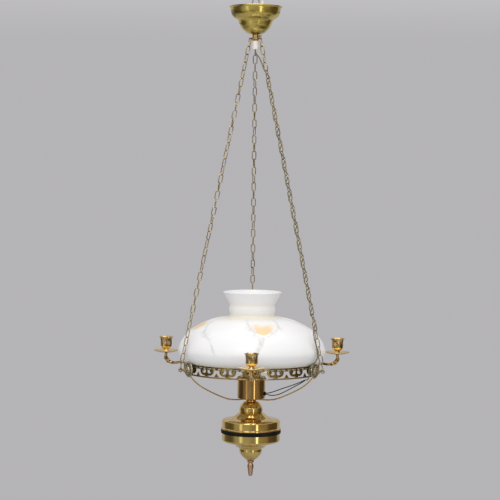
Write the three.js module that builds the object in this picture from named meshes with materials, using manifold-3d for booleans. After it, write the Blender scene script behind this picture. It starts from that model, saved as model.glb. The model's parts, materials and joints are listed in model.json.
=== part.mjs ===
// A brass kitchen chandelier: an opal glass shade in a pierced gallery ring, hung on three chains,
// with three candle arms round the ring and a drum-shaped body with a finial below.
// Millimetres, +Z up. The origin is the inside top of the hanging bail, where the ceiling hook bears.
import * as THREE from "three";
import { mergeVertices } from "three/addons/utils/BufferGeometryUtils.js";
import Module from "manifold-3d";

const wasm = await Module();
wasm.setup();

// Places round the lamp, in degrees from +X towards +Y; the front of the lamp faces -Y.
// The flex follows the chain at cordStation, counted from nought.
const degree = Math.PI / 180;
const chainStations = [90, 210, 330];
const armStations = [270, 30, 150];
const cordStation = 2;
const frontAngle = 270;

// Fits shared by all pieces
const seatGap = 0.3;
const boreGap = 0.3;
const overrun = 2;
const weld = 0.0001;

// Ceiling end: bail, stem with its fork, canopy and collar
const bail = { wire: 3, halfSpread: 9.2, height: 33.5, toeReach: 5.6 };
const stem = { radius: 5, bore: 3.4, forkSink: 3 };
const fork = { halfWidth: 7.2, cheek: 2.6, depth: 14, base: 4.5, top: 4, drop: 10 };
const canopy = { radius: 55, height: 58.8, wall: 1.2, rimDrop: 21.4 };
const collar = { radius: 6.6, height: 6, boss: 3.4, bossReach: 1.8 };
const lockScrew = { radius: 1.5, head: 2.2, headLength: 4 };
const terminal = { width: 5, depth: 12, height: 18, topDrop: 10, bevel: 0.8 };

// Chain plate, its nut and the cord grip under it
const crown = { hub: 10.3, thickness: 3.8, arm: 1.9, armWidth: 2.8, reach: 15.2, nub: 1.7, nubRise: 1.3 };
const crownHang = 11.9;
const locknut = { radius: 8, height: 1.5 };
const cordGrip = { radius: 6.3, height: 18.3, socket: 5.6 };

// Chains
const link = { wire: 1.9, width: 9.7, bite: 0.25 };
const linksPerChain = 40;

// Gallery ring that carries the shade; hangDrop is how far its top hangs below the ceiling hook,
// and what it carries is placed by how far it lies below that top
const hangDrop = 762.7;
const gallery = { radius: 143, height: 23, rail: 1.8, topRail: 2, bottomRail: 3, proud: 1 };
const band = { thickness: 1, inset: 0.5 };
const gallerySides = 36;
const pattern = { periods: 18, armSpan: 16.4, stem: 5, foot: 9.6, triangle: 7, base: 10.8 };
const patternV = { height: 3.4, width: 7 };
const fixing = { pad: 6, hole: 2.3, armBelow: 11.3, rosetteBelow: 10.3 };
const seat = { width: 8.4, below: 5.6, thickness: 1.2, tabWidth: 12, tabDrop: 9 };

// Glass shade: its foot stands in the gallery, and its belly swells out over the ring
const shade = { play: 1.88, belly: 15.48, neck: 48, rim: 61.5, height: 151, wall: 3.2, below: 5.3 };

// Rosettes, eye bolts and S-hooks
const rosette = { radius: 16.3, back: 4.6, dish: 1.6, wall: 1.3, boss: 5, bossRise: 6, scallop: 0.06 };
const eyeBolt = { shank: 2, wire: 2.3, eye: 3.5, clear: 13.7, head: 3.4, headHeight: 1.6 };
const sHook = { wire: 2.3, bend: 3, rise: 12, play: 0.5 };

// Candle arms with pans and cups
const arm = { reach: 70.6, drop: 17, cupEnd: 8.4, ringEnd: 6, flange: 6, flangeThickness: 1.8 };
const armStud = { radius: 1.9, ringLength: 7, cupLength: 8 };
const pan = { radius: 26.4, rise: 3.8, thickness: 1.1, gap: 0.3 };
const cup = { radius: 14.9, height: 32.2, wall: 1.5, neck: 6.7, pocket: 17.5, scallop: 0.05 };
const nut = { radius: 3.6, height: 2.4 };

// Burner: drum, flared collar, lampholder and bulb
const drum = { radius: 29.2, below: 31.7, height: 45.4, wall: 1.2, mouth: 17.6, shoulder: 3 };
const flare = { low: 19, high: 24, height: 11.2, wall: 1.2 };
const cableHole = { angle: 345, drop: 35.4, radius: 3.6 };
const grommet = { lip: 4.6, lipThickness: 1.4, bore: 2.5 };
const holder = { radius: 16.6, height: 46, wall: 1, base: 1.6 };
const insert = { radius: 14.6, height: 13, contact: 3, contactRise: 1.6 };
const bulb = { radius: 30, height: 106, wall: 1, neck: 13.4 };
const bulbCap = { radius: 13, height: 25, tip: 5, tipHeight: 3 };

// Support rods, hub and the tie rod through the body
const supportRod = { wire: 2.9 };
const hub = { radius: 9, height: 3.6 };
const tieRod = { radius: 3, intoHolder: 4, intoFinial: 9 };

// Lower body
const knop = { radius: 24.8, height: 27, collar: 11 };
const upperDrum = { radius: 61.3, height: 34.2, wall: 1.2, bead: 1.5 };
const gasket = { radius: 63, inner: 50, height: 7.7 };
const lowerDrum = { radius: 61.3, height: 58.1, wall: 1.2 };
const finial = { radius: 7.1, height: 33.2 };

// Flexes
const flex = { diameter: 2.6, weave: 2.7, firstJunction: 3, lastJunction: 35 };
const core = { diameter: 2 };

// Heights that follow from the sizes above; all are below the origin
const pivotZ = bail.wire / 2 - bail.height;
const forkBottom = pivotZ - fork.drop;
const stemTop = forkBottom + stem.forkSink;
const canopyRimZ = -canopy.rimDrop;
const canopyFloorZ = canopyRimZ - canopy.height;
const collarTop = canopyFloorZ - seatGap;
const collarBottom = collarTop - collar.height;
const crownTop = collarBottom - seatGap;
const crownBottom = crownTop - crown.thickness;
const armTop = crownBottom + crown.arm;
const locknutTop = crownBottom - seatGap;
const gripTop = locknutTop - locknut.height - seatGap;
const gripBottom = gripTop - cordGrip.height;
const stemBottom = gripTop - cordGrip.socket + seatGap;
const galleryTop = -hangDrop;
const rosetteZ = galleryTop - fixing.rosetteBelow;
const armZ = galleryTop - fixing.armBelow;
const galleryBottom = galleryTop - gallery.height;
const railInner = gallery.radius - gallery.rail;
const footRadius = railInner - shade.play;
const bellyRadius = footRadius + shade.belly;
const drumTop = galleryTop - drum.below;
const drumBottom = drumTop - drum.height;
const hubTop = drumBottom - seatGap;
const hubBottom = hubTop - hub.height;
const knopTop = hubBottom - seatGap;
const knopBottom = knopTop - knop.height;
const upperDrumTop = knopBottom - seatGap;
const upperDrumBottom = upperDrumTop - upperDrum.height;
const gasketTop = upperDrumBottom - seatGap;
const gasketBottom = gasketTop - gasket.height;
const lowerDrumTop = gasketBottom - seatGap;
const lowerDrumBottom = lowerDrumTop - lowerDrum.height;
const finialTop = lowerDrumBottom - seatGap;
const holderBottom = drumBottom + drum.wall + seatGap;
const holderFloor = holderBottom + holder.base;
const rodBore = tieRod.radius + boreGap;

// Finishes
const brass = new THREE.MeshStandardMaterial({ color: 0xd8a63a, metalness: 1, roughness: 0.22 });
const paleBrass = new THREE.MeshStandardMaterial({ color: 0xc9bd94, metalness: 1, roughness: 0.35 });
const bronze = new THREE.MeshStandardMaterial({ color: 0xc98a55, metalness: 1, roughness: 0.3 });
const steel = new THREE.MeshStandardMaterial({ color: 0xb9bbbd, metalness: 1, roughness: 0.35 });
const opal = new THREE.MeshStandardMaterial({ color: 0xf6f4f0, metalness: 0, roughness: 0.15 });
const clearGlass = new THREE.MeshStandardMaterial({ color: 0xf4f6f4, metalness: 0, roughness: 0.08 });
const whitePlastic = new THREE.MeshStandardMaterial({ color: 0xece8dd, metalness: 0, roughness: 0.45 });
const blackRubber = new THREE.MeshStandardMaterial({ color: 0x161514, metalness: 0, roughness: 0.7 });
const porcelain = new THREE.MeshStandardMaterial({ color: 0xf1ede2, metalness: 0, roughness: 0.25 });
const darkFlex = new THREE.MeshStandardMaterial({ color: 0x2f3324, metalness: 0, roughness: 0.6 });

// A closed geometry as a solid, with its faces turned outwards.
function solid(geometry) {
  const bare = geometry.clone();
  bare.deleteAttribute("normal");
  bare.deleteAttribute("uv");
  const merged = mergeVertices(bare, weld);
  const corner = merged.attributes.position;
  const index = merged.index.array;
  const faces = [];
  const [a, b, c] = [new THREE.Vector3(), new THREE.Vector3(), new THREE.Vector3()];
  let volume = 0;
  for (let i = 0; i < index.length; i += 3) {
    const [p, q, r] = [index[i], index[i + 1], index[i + 2]];
    if (p === q || q === r || r === p) continue;
    faces.push(p, q, r);
    a.fromBufferAttribute(corner, p);
    b.fromBufferAttribute(corner, q);
    c.fromBufferAttribute(corner, r);
    volume += a.dot(b.cross(c));
  }
  if (volume < 0) faces.reverse();
  return new wasm.Manifold(
    new wasm.Mesh({
      numProp: 3,
      vertProperties: Float32Array.from(corner.array),
      triVerts: Uint32Array.from(faces),
    }),
  );
}

// A solid's surface as a geometry.
function surface(shape) {
  const mesh = shape.getMesh();
  const geometry = new THREE.BufferGeometry();
  geometry.setAttribute("position", new THREE.BufferAttribute(mesh.vertProperties, 3));
  geometry.setIndex(new THREE.BufferAttribute(mesh.triVerts, 1));
  geometry.computeVertexNormals();
  return geometry;
}

// One solid from several that meet.
function joined(shapes) {
  return shapes.reduce((whole, next) => whole.add(next));
}

// A profile of [radius, height] pairs turned about the Z axis. The scallop moves every second
// segment of the profile's rim, which is a share of its radius, in and out.
function revolveGeometry(profile, segments, scallop = 0) {
  const geometry = new THREE.LatheGeometry(
    profile.map(([radius, height]) => new THREE.Vector2(radius, height)),
    segments,
  );
  const rim = Math.max(...profile.map(([radius]) => radius));
  const at = geometry.attributes.position;
  for (let i = 0; scallop && i < at.count; i++) {
    const [x, y, z] = [at.getX(i), at.getY(i), at.getZ(i)];
    const share = (Math.hypot(x, z) / rim) ** 4;
    const wave = 1 + scallop * share * Math.cos((segments / 2) * Math.atan2(x, z));
    at.setXYZ(i, x * wave, y, z * wave);
  }
  return geometry.rotateX(Math.PI / 2);
}

function revolve(profile, segments, scallop) {
  return solid(revolveGeometry(profile, segments, scallop));
}

// The closed profile of a shell: the outline, and the same line moved inwards by the wall.
function shell(outline, wall) {
  const inner = outline.map(([radius, height], i) => {
    const [r0, z0] = outline[Math.max(i - 1, 0)];
    const [r1, z1] = outline[Math.min(i + 1, outline.length - 1)];
    const length = Math.hypot(r1 - r0, z1 - z0);
    return [radius - (wall * (z0 - z1)) / length, height - (wall * (r1 - r0)) / length];
  });
  return [...outline, ...inner.reverse(), outline[0]];
}

// A cylinder between two heights on the Z axis.
function rod(radius, low, high, sides) {
  return revolve([[0, low], [radius, low], [radius, high], [0, high]], sides);
}

function tubeRing(inner, outer, low, high, sides) {
  return revolve([[inner, low], [outer, low], [outer, high], [inner, high], [inner, low]], sides);
}

function moved(shape, x, y, z) {
  return shape.translate([x, y, z]);
}

// A solid made along the Z axis, laid along +X instead.
function alongX(shape) {
  return shape.rotate([0, 90, 0]);
}

function polygon(radius, sides) {
  const corners = [];
  for (let i = 0; i < sides; i++) {
    const angle = ((i + 0.5) * 2 * Math.PI) / sides;
    corners.push(new THREE.Vector2(radius * Math.cos(angle), radius * Math.sin(angle)));
  }
  return new THREE.Shape(corners);
}

function plate(shape, thickness) {
  return new THREE.ExtrudeGeometry(shape, { depth: thickness, bevelEnabled: false });
}

// A section carried along a smooth line through the points; sizeAt scales it along the way.
function sweep(section, points, stepsEach = 1, sizeAt = () => 1) {
  const curve = new THREE.CatmullRomCurve3(points);
  const steps = (points.length - 1) * stepsEach;
  const bar = new THREE.ExtrudeGeometry(section, { depth: 1, steps, bevelEnabled: false });
  const frames = [];
  let side = new THREE.Vector3(0, 1, 0);
  for (let i = 0; i <= steps; i++) {
    const along = curve.getTangent(i / steps);
    side = side.clone().addScaledVector(along, -side.dot(along)).normalize();
    frames.push({ at: curve.getPoint(i / steps), side, up: along.clone().cross(side) });
  }
  const vertices = bar.attributes.position;
  for (let i = 0; i < vertices.count; i++) {
    const share = vertices.getZ(i);
    const { at, side: across, up } = frames[Math.round(share * steps)];
    const place = at
      .clone()
      .addScaledVector(across, vertices.getX(i) * sizeAt(share))
      .addScaledVector(up, vertices.getY(i) * sizeAt(share));
    vertices.setXYZ(i, place.x, place.y, place.z);
  }
  return solid(bar);
}

// Points in the plane of the X and Z axes.
function inPlane(pairs) {
  return pairs.map(([x, z]) => new THREE.Vector3(x, 0, z));
}

// The object, with one turned group for each chain and each candle arm.
const chandelier = new THREE.Group();

function station(angle) {
  const group = new THREE.Group();
  group.rotation.z = angle * degree;
  chandelier.add(group);
  return group;
}

function piece(name, shape, finish, parent = chandelier) {
  const mesh = new THREE.Mesh(surface(shape), finish);
  mesh.name = name;
  parent.add(mesh);
  return mesh;
}

const chainGroups = chainStations.map(station);
const armGroups = armStations.map(station);

// Ceiling end

// The bail's wire runs from one toe up over the hook and down to the other.
function makeBail() {
  const halfShares = [[0, 1], [0.42, 0.87], [0.76, 0.52], [0.95, 0.2], [1, 0.07]];
  const half = halfShares.map(([x, z]) => [x * bail.halfSpread, pivotZ + z * bail.height]);
  const toe = [[bail.halfSpread * 0.86, pivotZ], [bail.halfSpread - bail.toeReach, pivotZ]];
  const right = [...half, ...toe];
  const left = right.slice(1).map(([x, z]) => [-x, z]).reverse();
  return sweep(polygon(bail.wire / 2, 6), inPlane([...left, ...right]));
}

// The fork is a U of flat brass; its cheeks take the toes of the bail and its base the stem.
function makeFork() {
  const outer = fork.halfWidth;
  const inner = fork.halfWidth - fork.cheek;
  const low = forkBottom;
  const high = pivotZ + fork.top;
  const floor = low + fork.base;
  const outline = new THREE.Shape(
    [[-outer, low], [outer, low], [outer, high], [inner, high], [inner, floor],
      [-inner, floor], [-inner, high], [-outer, high]].map(([x, z]) => new THREE.Vector2(x, z)),
  );
  const body = solid(plate(outline, fork.depth)).rotate([90, 0, 0]);
  const toeHole = alongX(rod(bail.wire / 2 + boreGap, -outer - overrun, outer + overrun, 8));
  return moved(body, 0, fork.depth / 2, 0)
    .subtract(moved(toeHole, 0, 0, pivotZ))
    .subtract(rod(stem.radius + boreGap, low - overrun, floor + overrun, 16));
}

function makeCanopy() {
  const outlineShares = [
    [1, 0], [0.945, 0.07], [0.93, 0.21], [0.885, 0.33], [0.74, 0.445], [0.655, 0.51], [0.6, 0.63],
    [0.51, 0.77], [0.36, 0.915], [0.2, 0.985],
  ];
  const outline = outlineShares.map(([r, drop]) => [
    r * canopy.radius,
    canopyRimZ - drop * canopy.height,
  ]);
  outline.push([stem.radius + 2 * boreGap, canopyFloorZ]);
  return revolve(shell(outline, canopy.wall), 20);
}

function makeCollar() {
  const middle = (collarTop + collarBottom) / 2;
  const boss = moved(alongX(rod(collar.boss / 2, stem.radius + 2 * boreGap,
    collar.radius + collar.bossReach, 8)), 0, 0, middle);
  const hole = moved(alongX(rod(lockScrew.radius + boreGap / 2, 0, collar.radius * 2, 8)), 0, 0, middle);
  return tubeRing(stem.radius + boreGap, collar.radius, collarBottom, collarTop, 16)
    .add(boss)
    .subtract(hole);
}

// The lock screw lies along +X: its shank through the collar, its milled head outside.
function makeLockScrew() {
  const shankStart = stem.radius + seatGap;
  const headStart = collar.radius + collar.bossReach + seatGap;
  const headEnd = headStart + lockScrew.headLength;
  const profile = [
    [0, shankStart], [lockScrew.radius, shankStart], [lockScrew.radius, headStart],
    [lockScrew.head, headStart], [lockScrew.head, headEnd], [0, headEnd],
  ];
  return moved(alongX(revolve(profile, 8)), 0, 0, (collarTop + collarBottom) / 2);
}

const lineRadius = flex.diameter / 2;
const terminalX = bail.halfSpread + bail.wire / 2 + seatGap + terminal.width / 2;
const terminalBottom = -terminal.topDrop - terminal.height;

function makeTerminal() {
  const [w, h, b] = [terminal.width / 2, terminal.height, terminal.bevel];
  const outline = new THREE.Shape(
    [[-w, b], [b - w, 0], [w - b, 0], [w, b], [w, h - b], [w - b, h], [b - w, h], [-w, h - b]]
      .map(([x, z]) => new THREE.Vector2(x, z)),
  );
  return moved(solid(plate(outline, terminal.depth)).rotate([90, 0, 0]),
    terminalX, terminal.depth / 2, terminalBottom);
}

// The flex inside the stem leaves it between the fork's cheeks and turns up into the terminals.
const upperFlexPoints = [
  [0, 0, gripBottom + 4 * seatGap], [0, 0, -95], [0, 0, -80], [0, 0, -65], [0, 0, -50], [0, 0, -42],
  [0, 2.6, -37.2], [1.5, 6.4, -35.2], [5.6, 9.4, -34.6], [10.2, 8.6, -34.2], [13.1, 5.2, -32.6],
  [terminalX, 1.6, -30.2], [terminalX, 1.4, terminalBottom - 2 * seatGap],
];

function line(points, diameter) {
  return sweep(polygon(diameter / 2, 8), points.map(([x, y, z]) => new THREE.Vector3(x, y, z)));
}

piece("hanging_bail", makeBail(), brass);
piece("stem_fork", makeFork(), brass);
piece("stem_tube", tubeRing(stem.bore, stem.radius, stemBottom, stemTop, 12), brass);
piece("canopy", makeCanopy(), brass);
piece("canopy_collar", makeCollar(), brass);
piece("canopy_lock_screw", makeLockScrew(), brass);
piece("terminal_block", makeTerminal(), whitePlastic);
piece("flex_upper", line(upperFlexPoints, flex.diameter), darkFlex);

// Chain plate: a hub with one hooked arm for each chain.
function makeCrown() {
  const arms = chainStations.map((angle) => {
    const reach = crown.reach;
    const nubLow = reach - crown.nub;
    const profile = new THREE.Shape(
      [[0, crownBottom], [reach, crownBottom], [reach, armTop + crown.nubRise],
        [nubLow, armTop + crown.nubRise], [nubLow, armTop], [0, armTop]]
        .map(([x, z]) => new THREE.Vector2(x, z)),
    );
    const bar = solid(plate(profile, crown.armWidth)).rotate([90, 0, 0]);
    return moved(bar, 0, crown.armWidth / 2, 0).rotate([0, 0, angle]);
  });
  return joined([rod(crown.hub, crownBottom, crownTop, 18), ...arms])
    .subtract(rod(stem.radius + boreGap, crownBottom - overrun, crownTop + overrun, 16));
}

function makeCordGrip() {
  const r = cordGrip.radius;
  const profile = [
    [stem.radius + boreGap, gripTop], [r * 0.9, gripTop], [r, gripTop - cordGrip.height * 0.1],
    [r * 0.93, gripTop - cordGrip.height * 0.6], [r, gripBottom],
    [lineRadius + boreGap, gripBottom], [lineRadius + boreGap, gripTop - cordGrip.socket],
    [stem.radius + boreGap, gripTop - cordGrip.socket], [stem.radius + boreGap, gripTop],
  ];
  return revolve(profile, 12);
}

piece("chain_crown", makeCrown(), brass);
piece("stem_locknut", hexNut(stem.radius + boreGap, locknut.radius,
  locknutTop - locknut.height, locknutTop), brass);
piece("cord_grip", makeCordGrip(), whitePlastic);

// Chains. Each runs in the X and Z plane of its station, from the crown's arm to its S-hook.
const eyeCentre = bellyRadius + eyeBolt.clear;
const eyeTopWire = rosetteZ + eyeBolt.eye;
const chainStart = new THREE.Vector3(crownHang, 0, armTop + seatGap);
const hookFoot = new THREE.Vector3(
  eyeCentre, 0, eyeTopWire - eyeBolt.wire / 2 - sHook.play - sHook.wire / 2 + sHook.bend,
);
const chainAlong = hookFoot.clone().sub(chainStart).normalize();
const chainAcross = new THREE.Vector3(-chainAlong.z, 0, chainAlong.x);
const hookReach = sHook.rise + sHook.bend - sHook.wire / 2 - sHook.play;
const chainEnd = hookFoot.clone().addScaledVector(chainAlong, -hookReach);
const pitch = (chainStart.distanceTo(chainEnd) + link.bite) / linksPerChain;
const linkInner = pitch - link.bite;

// One link: a ring of wire pulled out into an oval, its long side along +Y. The wire is three-sided
// with an edge inwards, so that one link bears on the next at a point.
function makeLink() {
  const corners = 8;
  const flatShare = Math.cos(Math.PI / corners);
  const ring = (link.width - link.wire) / 2 / flatShare;
  const straight = linkInner / 2 - (ring - link.wire / 2) * flatShare;
  const geometry = new THREE.TorusGeometry(ring, -link.wire / 2, 3, corners)
    .rotateZ(Math.PI / corners);
  const at = geometry.attributes.position;
  for (let i = 0; i < at.count; i++) at.setY(i, at.getY(i) + Math.sign(at.getY(i)) * straight);
  return geometry;
}

// Links turned a quarter about the chain by turns; each bears on the next and is joined there.
function makeChain() {
  const tangent = new THREE.Vector3(0, 1, 0);
  const links = [];
  for (let i = 0; i < linksPerChain; i++) {
    const across = i % 2 ? chainAcross : tangent;
    const place = chainStart.clone().addScaledVector(chainAlong, linkInner / 2 + i * pitch);
    const turn = new THREE.Matrix4()
      .makeBasis(across, chainAlong, across.clone().cross(chainAlong))
      .setPosition(place);
    links.push(solid(makeLink().applyMatrix4(turn)));
  }
  return joined(links);
}

const chainShape = makeChain();
chainGroups.forEach((group, i) => piece(`chain_${i + 1}`, chainShape, paleBrass, group));

// Gallery ring: two rails and a band pierced with anchors, triangles and small points.

// A flat cut-out bent round the band; its x runs round the ring and its z up it.
function onBand(shape, angle) {
  const geometry = plate(shape, band.thickness);
  const at = geometry.attributes.position;
  for (let i = 0; i < at.count; i++) {
    const turn = at.getX(i) / gallery.radius + angle * degree;
    const radius = gallery.radius - band.inset - at.getZ(i);
    at.setXYZ(i, radius * Math.cos(turn), radius * Math.sin(turn), at.getY(i));
  }
  return solid(geometry);
}

function makeGallery() {
  const low = galleryBottom + gallery.bottomRail;
  const high = galleryTop - gallery.topRail;
  const clear = high - low;
  const sink = gallery.topRail / 4;
  const shape = (pairs) => new THREE.Shape(pairs.map(([x, z]) => new THREE.Vector2(x, z)));
  const stemShare = pattern.stem / 2 / pattern.armSpan;
  const scrollShares = [
    [stemShare, 0.2], [0.62, 0.16], [1, 0.42], [0.93, 0.84], [0.6, 0.66], [0.82, 0.6],
    [0.6, 0.35], [stemShare, 0.42],
  ];
  const half = [
    [pattern.foot / 2, low - sink],
    ...scrollShares.map(([x, z]) => [x * pattern.armSpan, low + z * clear]),
    [pattern.stem / 2, high + sink],
  ];
  const anchor = shape([...half, ...half.map(([x, z]) => [-x, z]).reverse()]);
  const triangle = shape([
    [-pattern.base / 2, low - sink], [pattern.base / 2, low - sink], [0, low + pattern.triangle],
  ]);
  const point = shape([
    [-patternV.width / 2, high + sink], [0, high - patternV.height], [patternV.width / 2, high + sink],
  ]);
  const parts = [
    tubeRing(railInner, gallery.radius, high, galleryTop, gallerySides),
    tubeRing(railInner, gallery.radius + gallery.proud, galleryBottom, low, gallerySides),
  ];
  const period = 360 / pattern.periods;
  for (let i = 0; i < pattern.periods; i++) {
    const angle = frontAngle + i * period;
    parts.push(onBand(anchor, angle));
    parts.push(onBand(triangle, angle + period / 2), onBand(point, angle + period / 2));
  }
  const ends = [
    ...armStations.map((angle) => [angle, armZ]),
    ...chainStations.map((angle) => [angle, rosetteZ]),
  ];
  let whole = joined(parts);
  for (const [angle, z] of ends) {
    const pad = alongX(rod(fixing.pad, railInner, gallery.radius - seatGap / 2, 10));
    whole = whole.add(moved(pad, 0, 0, z).rotate([0, 0, angle]));
  }
  for (const [angle, z] of ends) {
    const hole = alongX(rod(fixing.hole, railInner - overrun, gallery.radius + overrun, 8));
    whole = whole.subtract(moved(hole, 0, 0, z).rotate([0, 0, angle]));
  }
  return whole;
}

// The shade's seat: a flat ledge inside the band, with a tab behind each rosette.
function makeSeat() {
  const outer = railInner - seatGap;
  const top = galleryTop - seat.below;
  const low = top - seat.thickness;
  let whole = tubeRing(outer - seat.width, outer, low, top, 24);
  const tab = new THREE.Shape(
    [[outer - 2 * seat.thickness, low - seat.tabDrop], [outer - seat.thickness, low - seat.tabDrop],
      [outer - seat.thickness, top - seatGap], [outer - 2 * seat.thickness, top - seatGap]]
      .map(([x, z]) => new THREE.Vector2(x, z)),
  );
  const flat = solid(plate(tab, seat.tabWidth)).rotate([90, 0, 0]);
  const hole = moved(alongX(rod(fixing.hole, outer - 6 * seat.thickness, outer, 8)), 0, 0, rosetteZ);
  for (const angle of chainStations) {
    const placed = moved(flat, 0, seat.tabWidth / 2, 0).subtract(hole);
    whole = whole.add(placed.rotate([0, 0, angle]));
  }
  return whole;
}

function makeShade() {
  const foot = galleryTop - shade.below;
  const neckShares = [[1, 0.828], [1, 0.76], [0.96, 0.668]];
  const domeShares = [[0.41, 0.65], [0.6, 0.6], [0.83, 0.465], [0.94, 0.36]];
  const bellyShares = [[1, 0.22], [0.85, 0.11], [0.35, 0.055], [0.02, 0.035], [0, 0]];
  const outline = [
    [shade.rim, 1],
    ...neckShares.map(([r, z]) => [r * shade.neck, z]),
    ...domeShares.map(([r, z]) => [r * bellyRadius, z]),
    ...bellyShares.map(([r, z]) => [footRadius + r * shade.belly, z]),
  ];
  return revolve(
    shell(outline.map(([r, z]) => [r, foot + z * shade.height]), shade.wall),
    24,
  );
}

piece("gallery_ring", makeGallery(), brass);
piece("shade_seat", makeSeat(), brass);
piece("glass_shade", makeShade(), opal);

// Rosettes with their eye bolts, and the S-hooks that join the bolts to the chains.

// A scalloped flower disc, turned about the bolt's axis and standing off the band on its boss.
function makeRosette() {
  const foot = gallery.radius + seatGap;
  const back = gallery.radius + rosette.back;
  const r = rosette.radius;
  const bore = eyeBolt.shank + boreGap;
  const profile = [
    [bore, foot], [rosette.boss, foot], [rosette.boss * 1.1, back], [r, back + rosette.dish],
    [r * 0.97, back + rosette.dish + rosette.wall], [r * 0.68, back + 3 * rosette.dish],
    [r * 0.38, back + 2 * rosette.dish], [rosette.boss * 0.8, back + rosette.bossRise],
    [bore, back + rosette.bossRise], [bore, foot],
  ];
  return moved(alongX(revolve(profile, 16, rosette.scallop)), 0, 0, rosetteZ);
}

function makeEyeBolt() {
  const headOuter = railInner - 2 * seatGap - 2 * seat.thickness;
  const headInner = headOuter - eyeBolt.headHeight;
  const shank = alongX(rod(eyeBolt.shank, headInner, eyeCentre - eyeBolt.eye, 8));
  const head = alongX(rod(eyeBolt.head, headInner, headOuter, 8));
  const eye = solid(
    new THREE.TorusGeometry(eyeBolt.eye, eyeBolt.wire / 2, 6, 12).rotateX(Math.PI / 2),
  );
  return moved(joined([shank, head, moved(eye, eyeCentre, 0, 0)]), 0, 0, rosetteZ);
}

// A hexagonal nut on the Z axis, its bore as wide across the flats as the thread needs.
function hexNut(bore, radius, low, high) {
  return tubeRing(bore / Math.cos(Math.PI / 6), radius, low, high, 6);
}

// An S of wire in the plane of the chain and the tangent: two hooks, one up and one down.
function makeSHook() {
  const lowTurns = [140, 180, 225, 270, 315, 360];
  const highTurns = [180, 135, 90, 45, 0, -40];
  const spot = (turn, rise) => {
    const sideways = sHook.bend * Math.cos(turn * degree);
    const upwards = rise + sHook.bend * Math.sin(turn * degree);
    return new THREE.Vector3(0, sideways, 0).addScaledVector(chainAlong, -upwards).add(hookFoot);
  };
  const points = [
    ...lowTurns.map((turn) => spot(turn, 0)),
    ...highTurns.map((turn) => spot(turn, sHook.rise)),
  ];
  return sweep(polygon(sHook.wire / 2, 6), points);
}

const rosetteShape = makeRosette();
const eyeBoltShape = makeEyeBolt();
const sHookShape = makeSHook();
chainGroups.forEach((group, i) => {
  piece(`rosette_${i + 1}`, rosetteShape, brass, group);
  piece(`eye_bolt_${i + 1}`, eyeBoltShape, brass, group);
  piece(`s_hook_${i + 1}`, sHookShape, paleBrass, group);
});

// Candle arms: a cast branch with a flange on the band, a drip pan and a candle cup.
const armRoot = gallery.radius + seatGap;
const armTip = armRoot + arm.reach;
const panUnder = armZ + arm.drop + pan.gap;
const cupBottom = panUnder + pan.thickness + seatGap;
const cupRim = cupBottom + cup.height;

function makeArm() {
  const lineShares = [
    [1, 1], [1, 0.86], [1.01, 0.53], [0.965, 0.12], [0.866, -0.18], [0.725, -0.265], [0.55, -0.18],
    [0.3, -0.06], [0.02, 0],
  ];
  const points = lineShares.map(([reach, drop]) => [
    armRoot + reach * arm.reach,
    armZ + drop * arm.drop,
  ]);
  const slim = arm.ringEnd / arm.cupEnd;
  const branch = sweep(polygon(arm.cupEnd / 2, 6), inPlane(points), 1,
    (share) => 1 + (slim - 1) * share);
  const flange = alongX(rod(arm.flange, armRoot, armRoot + arm.flangeThickness, 12));
  const ringStud = alongX(rod(armStud.radius, armRoot - armStud.ringLength, armRoot + overrun, 8));
  const cupStud = rod(armStud.radius, panUnder - overrun, cupBottom + armStud.cupLength, 8);
  return joined([branch, moved(flange, 0, 0, armZ), moved(ringStud, 0, 0, armZ),
    moved(cupStud, armTip, 0, 0)]);
}

function makePan() {
  const bore = armStud.radius + boreGap;
  const r = pan.radius;
  const top = panUnder + pan.thickness;
  const profile = [
    [bore, panUnder], [r * 0.55, panUnder], [r, panUnder + pan.rise],
    [r - pan.thickness, panUnder + pan.rise + pan.thickness / 2], [r * 0.53, top], [bore, top],
    [bore, panUnder],
  ];
  return moved(revolve(profile, 16), armTip, 0, 0);
}

// The cup opens like a tulip, with a scalloped rim and a flat-floored pocket for the candle.
function makeCup() {
  const [r, h] = [cup.radius, cup.height];
  const bore = armStud.radius + boreGap;
  const floor = cupRim - cup.pocket;
  const well = cupBottom + armStud.cupLength + seatGap;
  const profile = [
    [0, well], [bore, well], [bore, cupBottom], [cup.neck, cupBottom],
    [cup.neck, cupBottom + h * 0.14], [r * 0.5, cupBottom + h * 0.23], [r * 0.7, cupBottom + h * 0.43],
    [r * 0.83, cupBottom + h * 0.72], [r, cupRim], [r - cup.wall, cupRim],
    [r * 0.83 - cup.wall, cupBottom + h * 0.72], [r * 0.72 - cup.wall, floor], [0, floor],
  ];
  return moved(revolve(profile, 12, cup.scallop), armTip, 0, 0);
}

const armShape = makeArm();
const panShape = makePan();
const cupShape = makeCup();
const nutFace = railInner - seatGap;
const armNutShape = moved(alongX(
  hexNut(armStud.radius + boreGap, nut.radius, nutFace - nut.height, nutFace)), 0, 0, armZ);
armGroups.forEach((group, i) => {
  piece(`candle_arm_${i + 1}`, armShape, brass, group);
  piece(`drip_pan_${i + 1}`, panShape, brass, group);
  piece(`candle_cup_${i + 1}`, cupShape, brass, group);
  piece(`arm_nut_${i + 1}`, armNutShape, brass, group);
});

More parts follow.
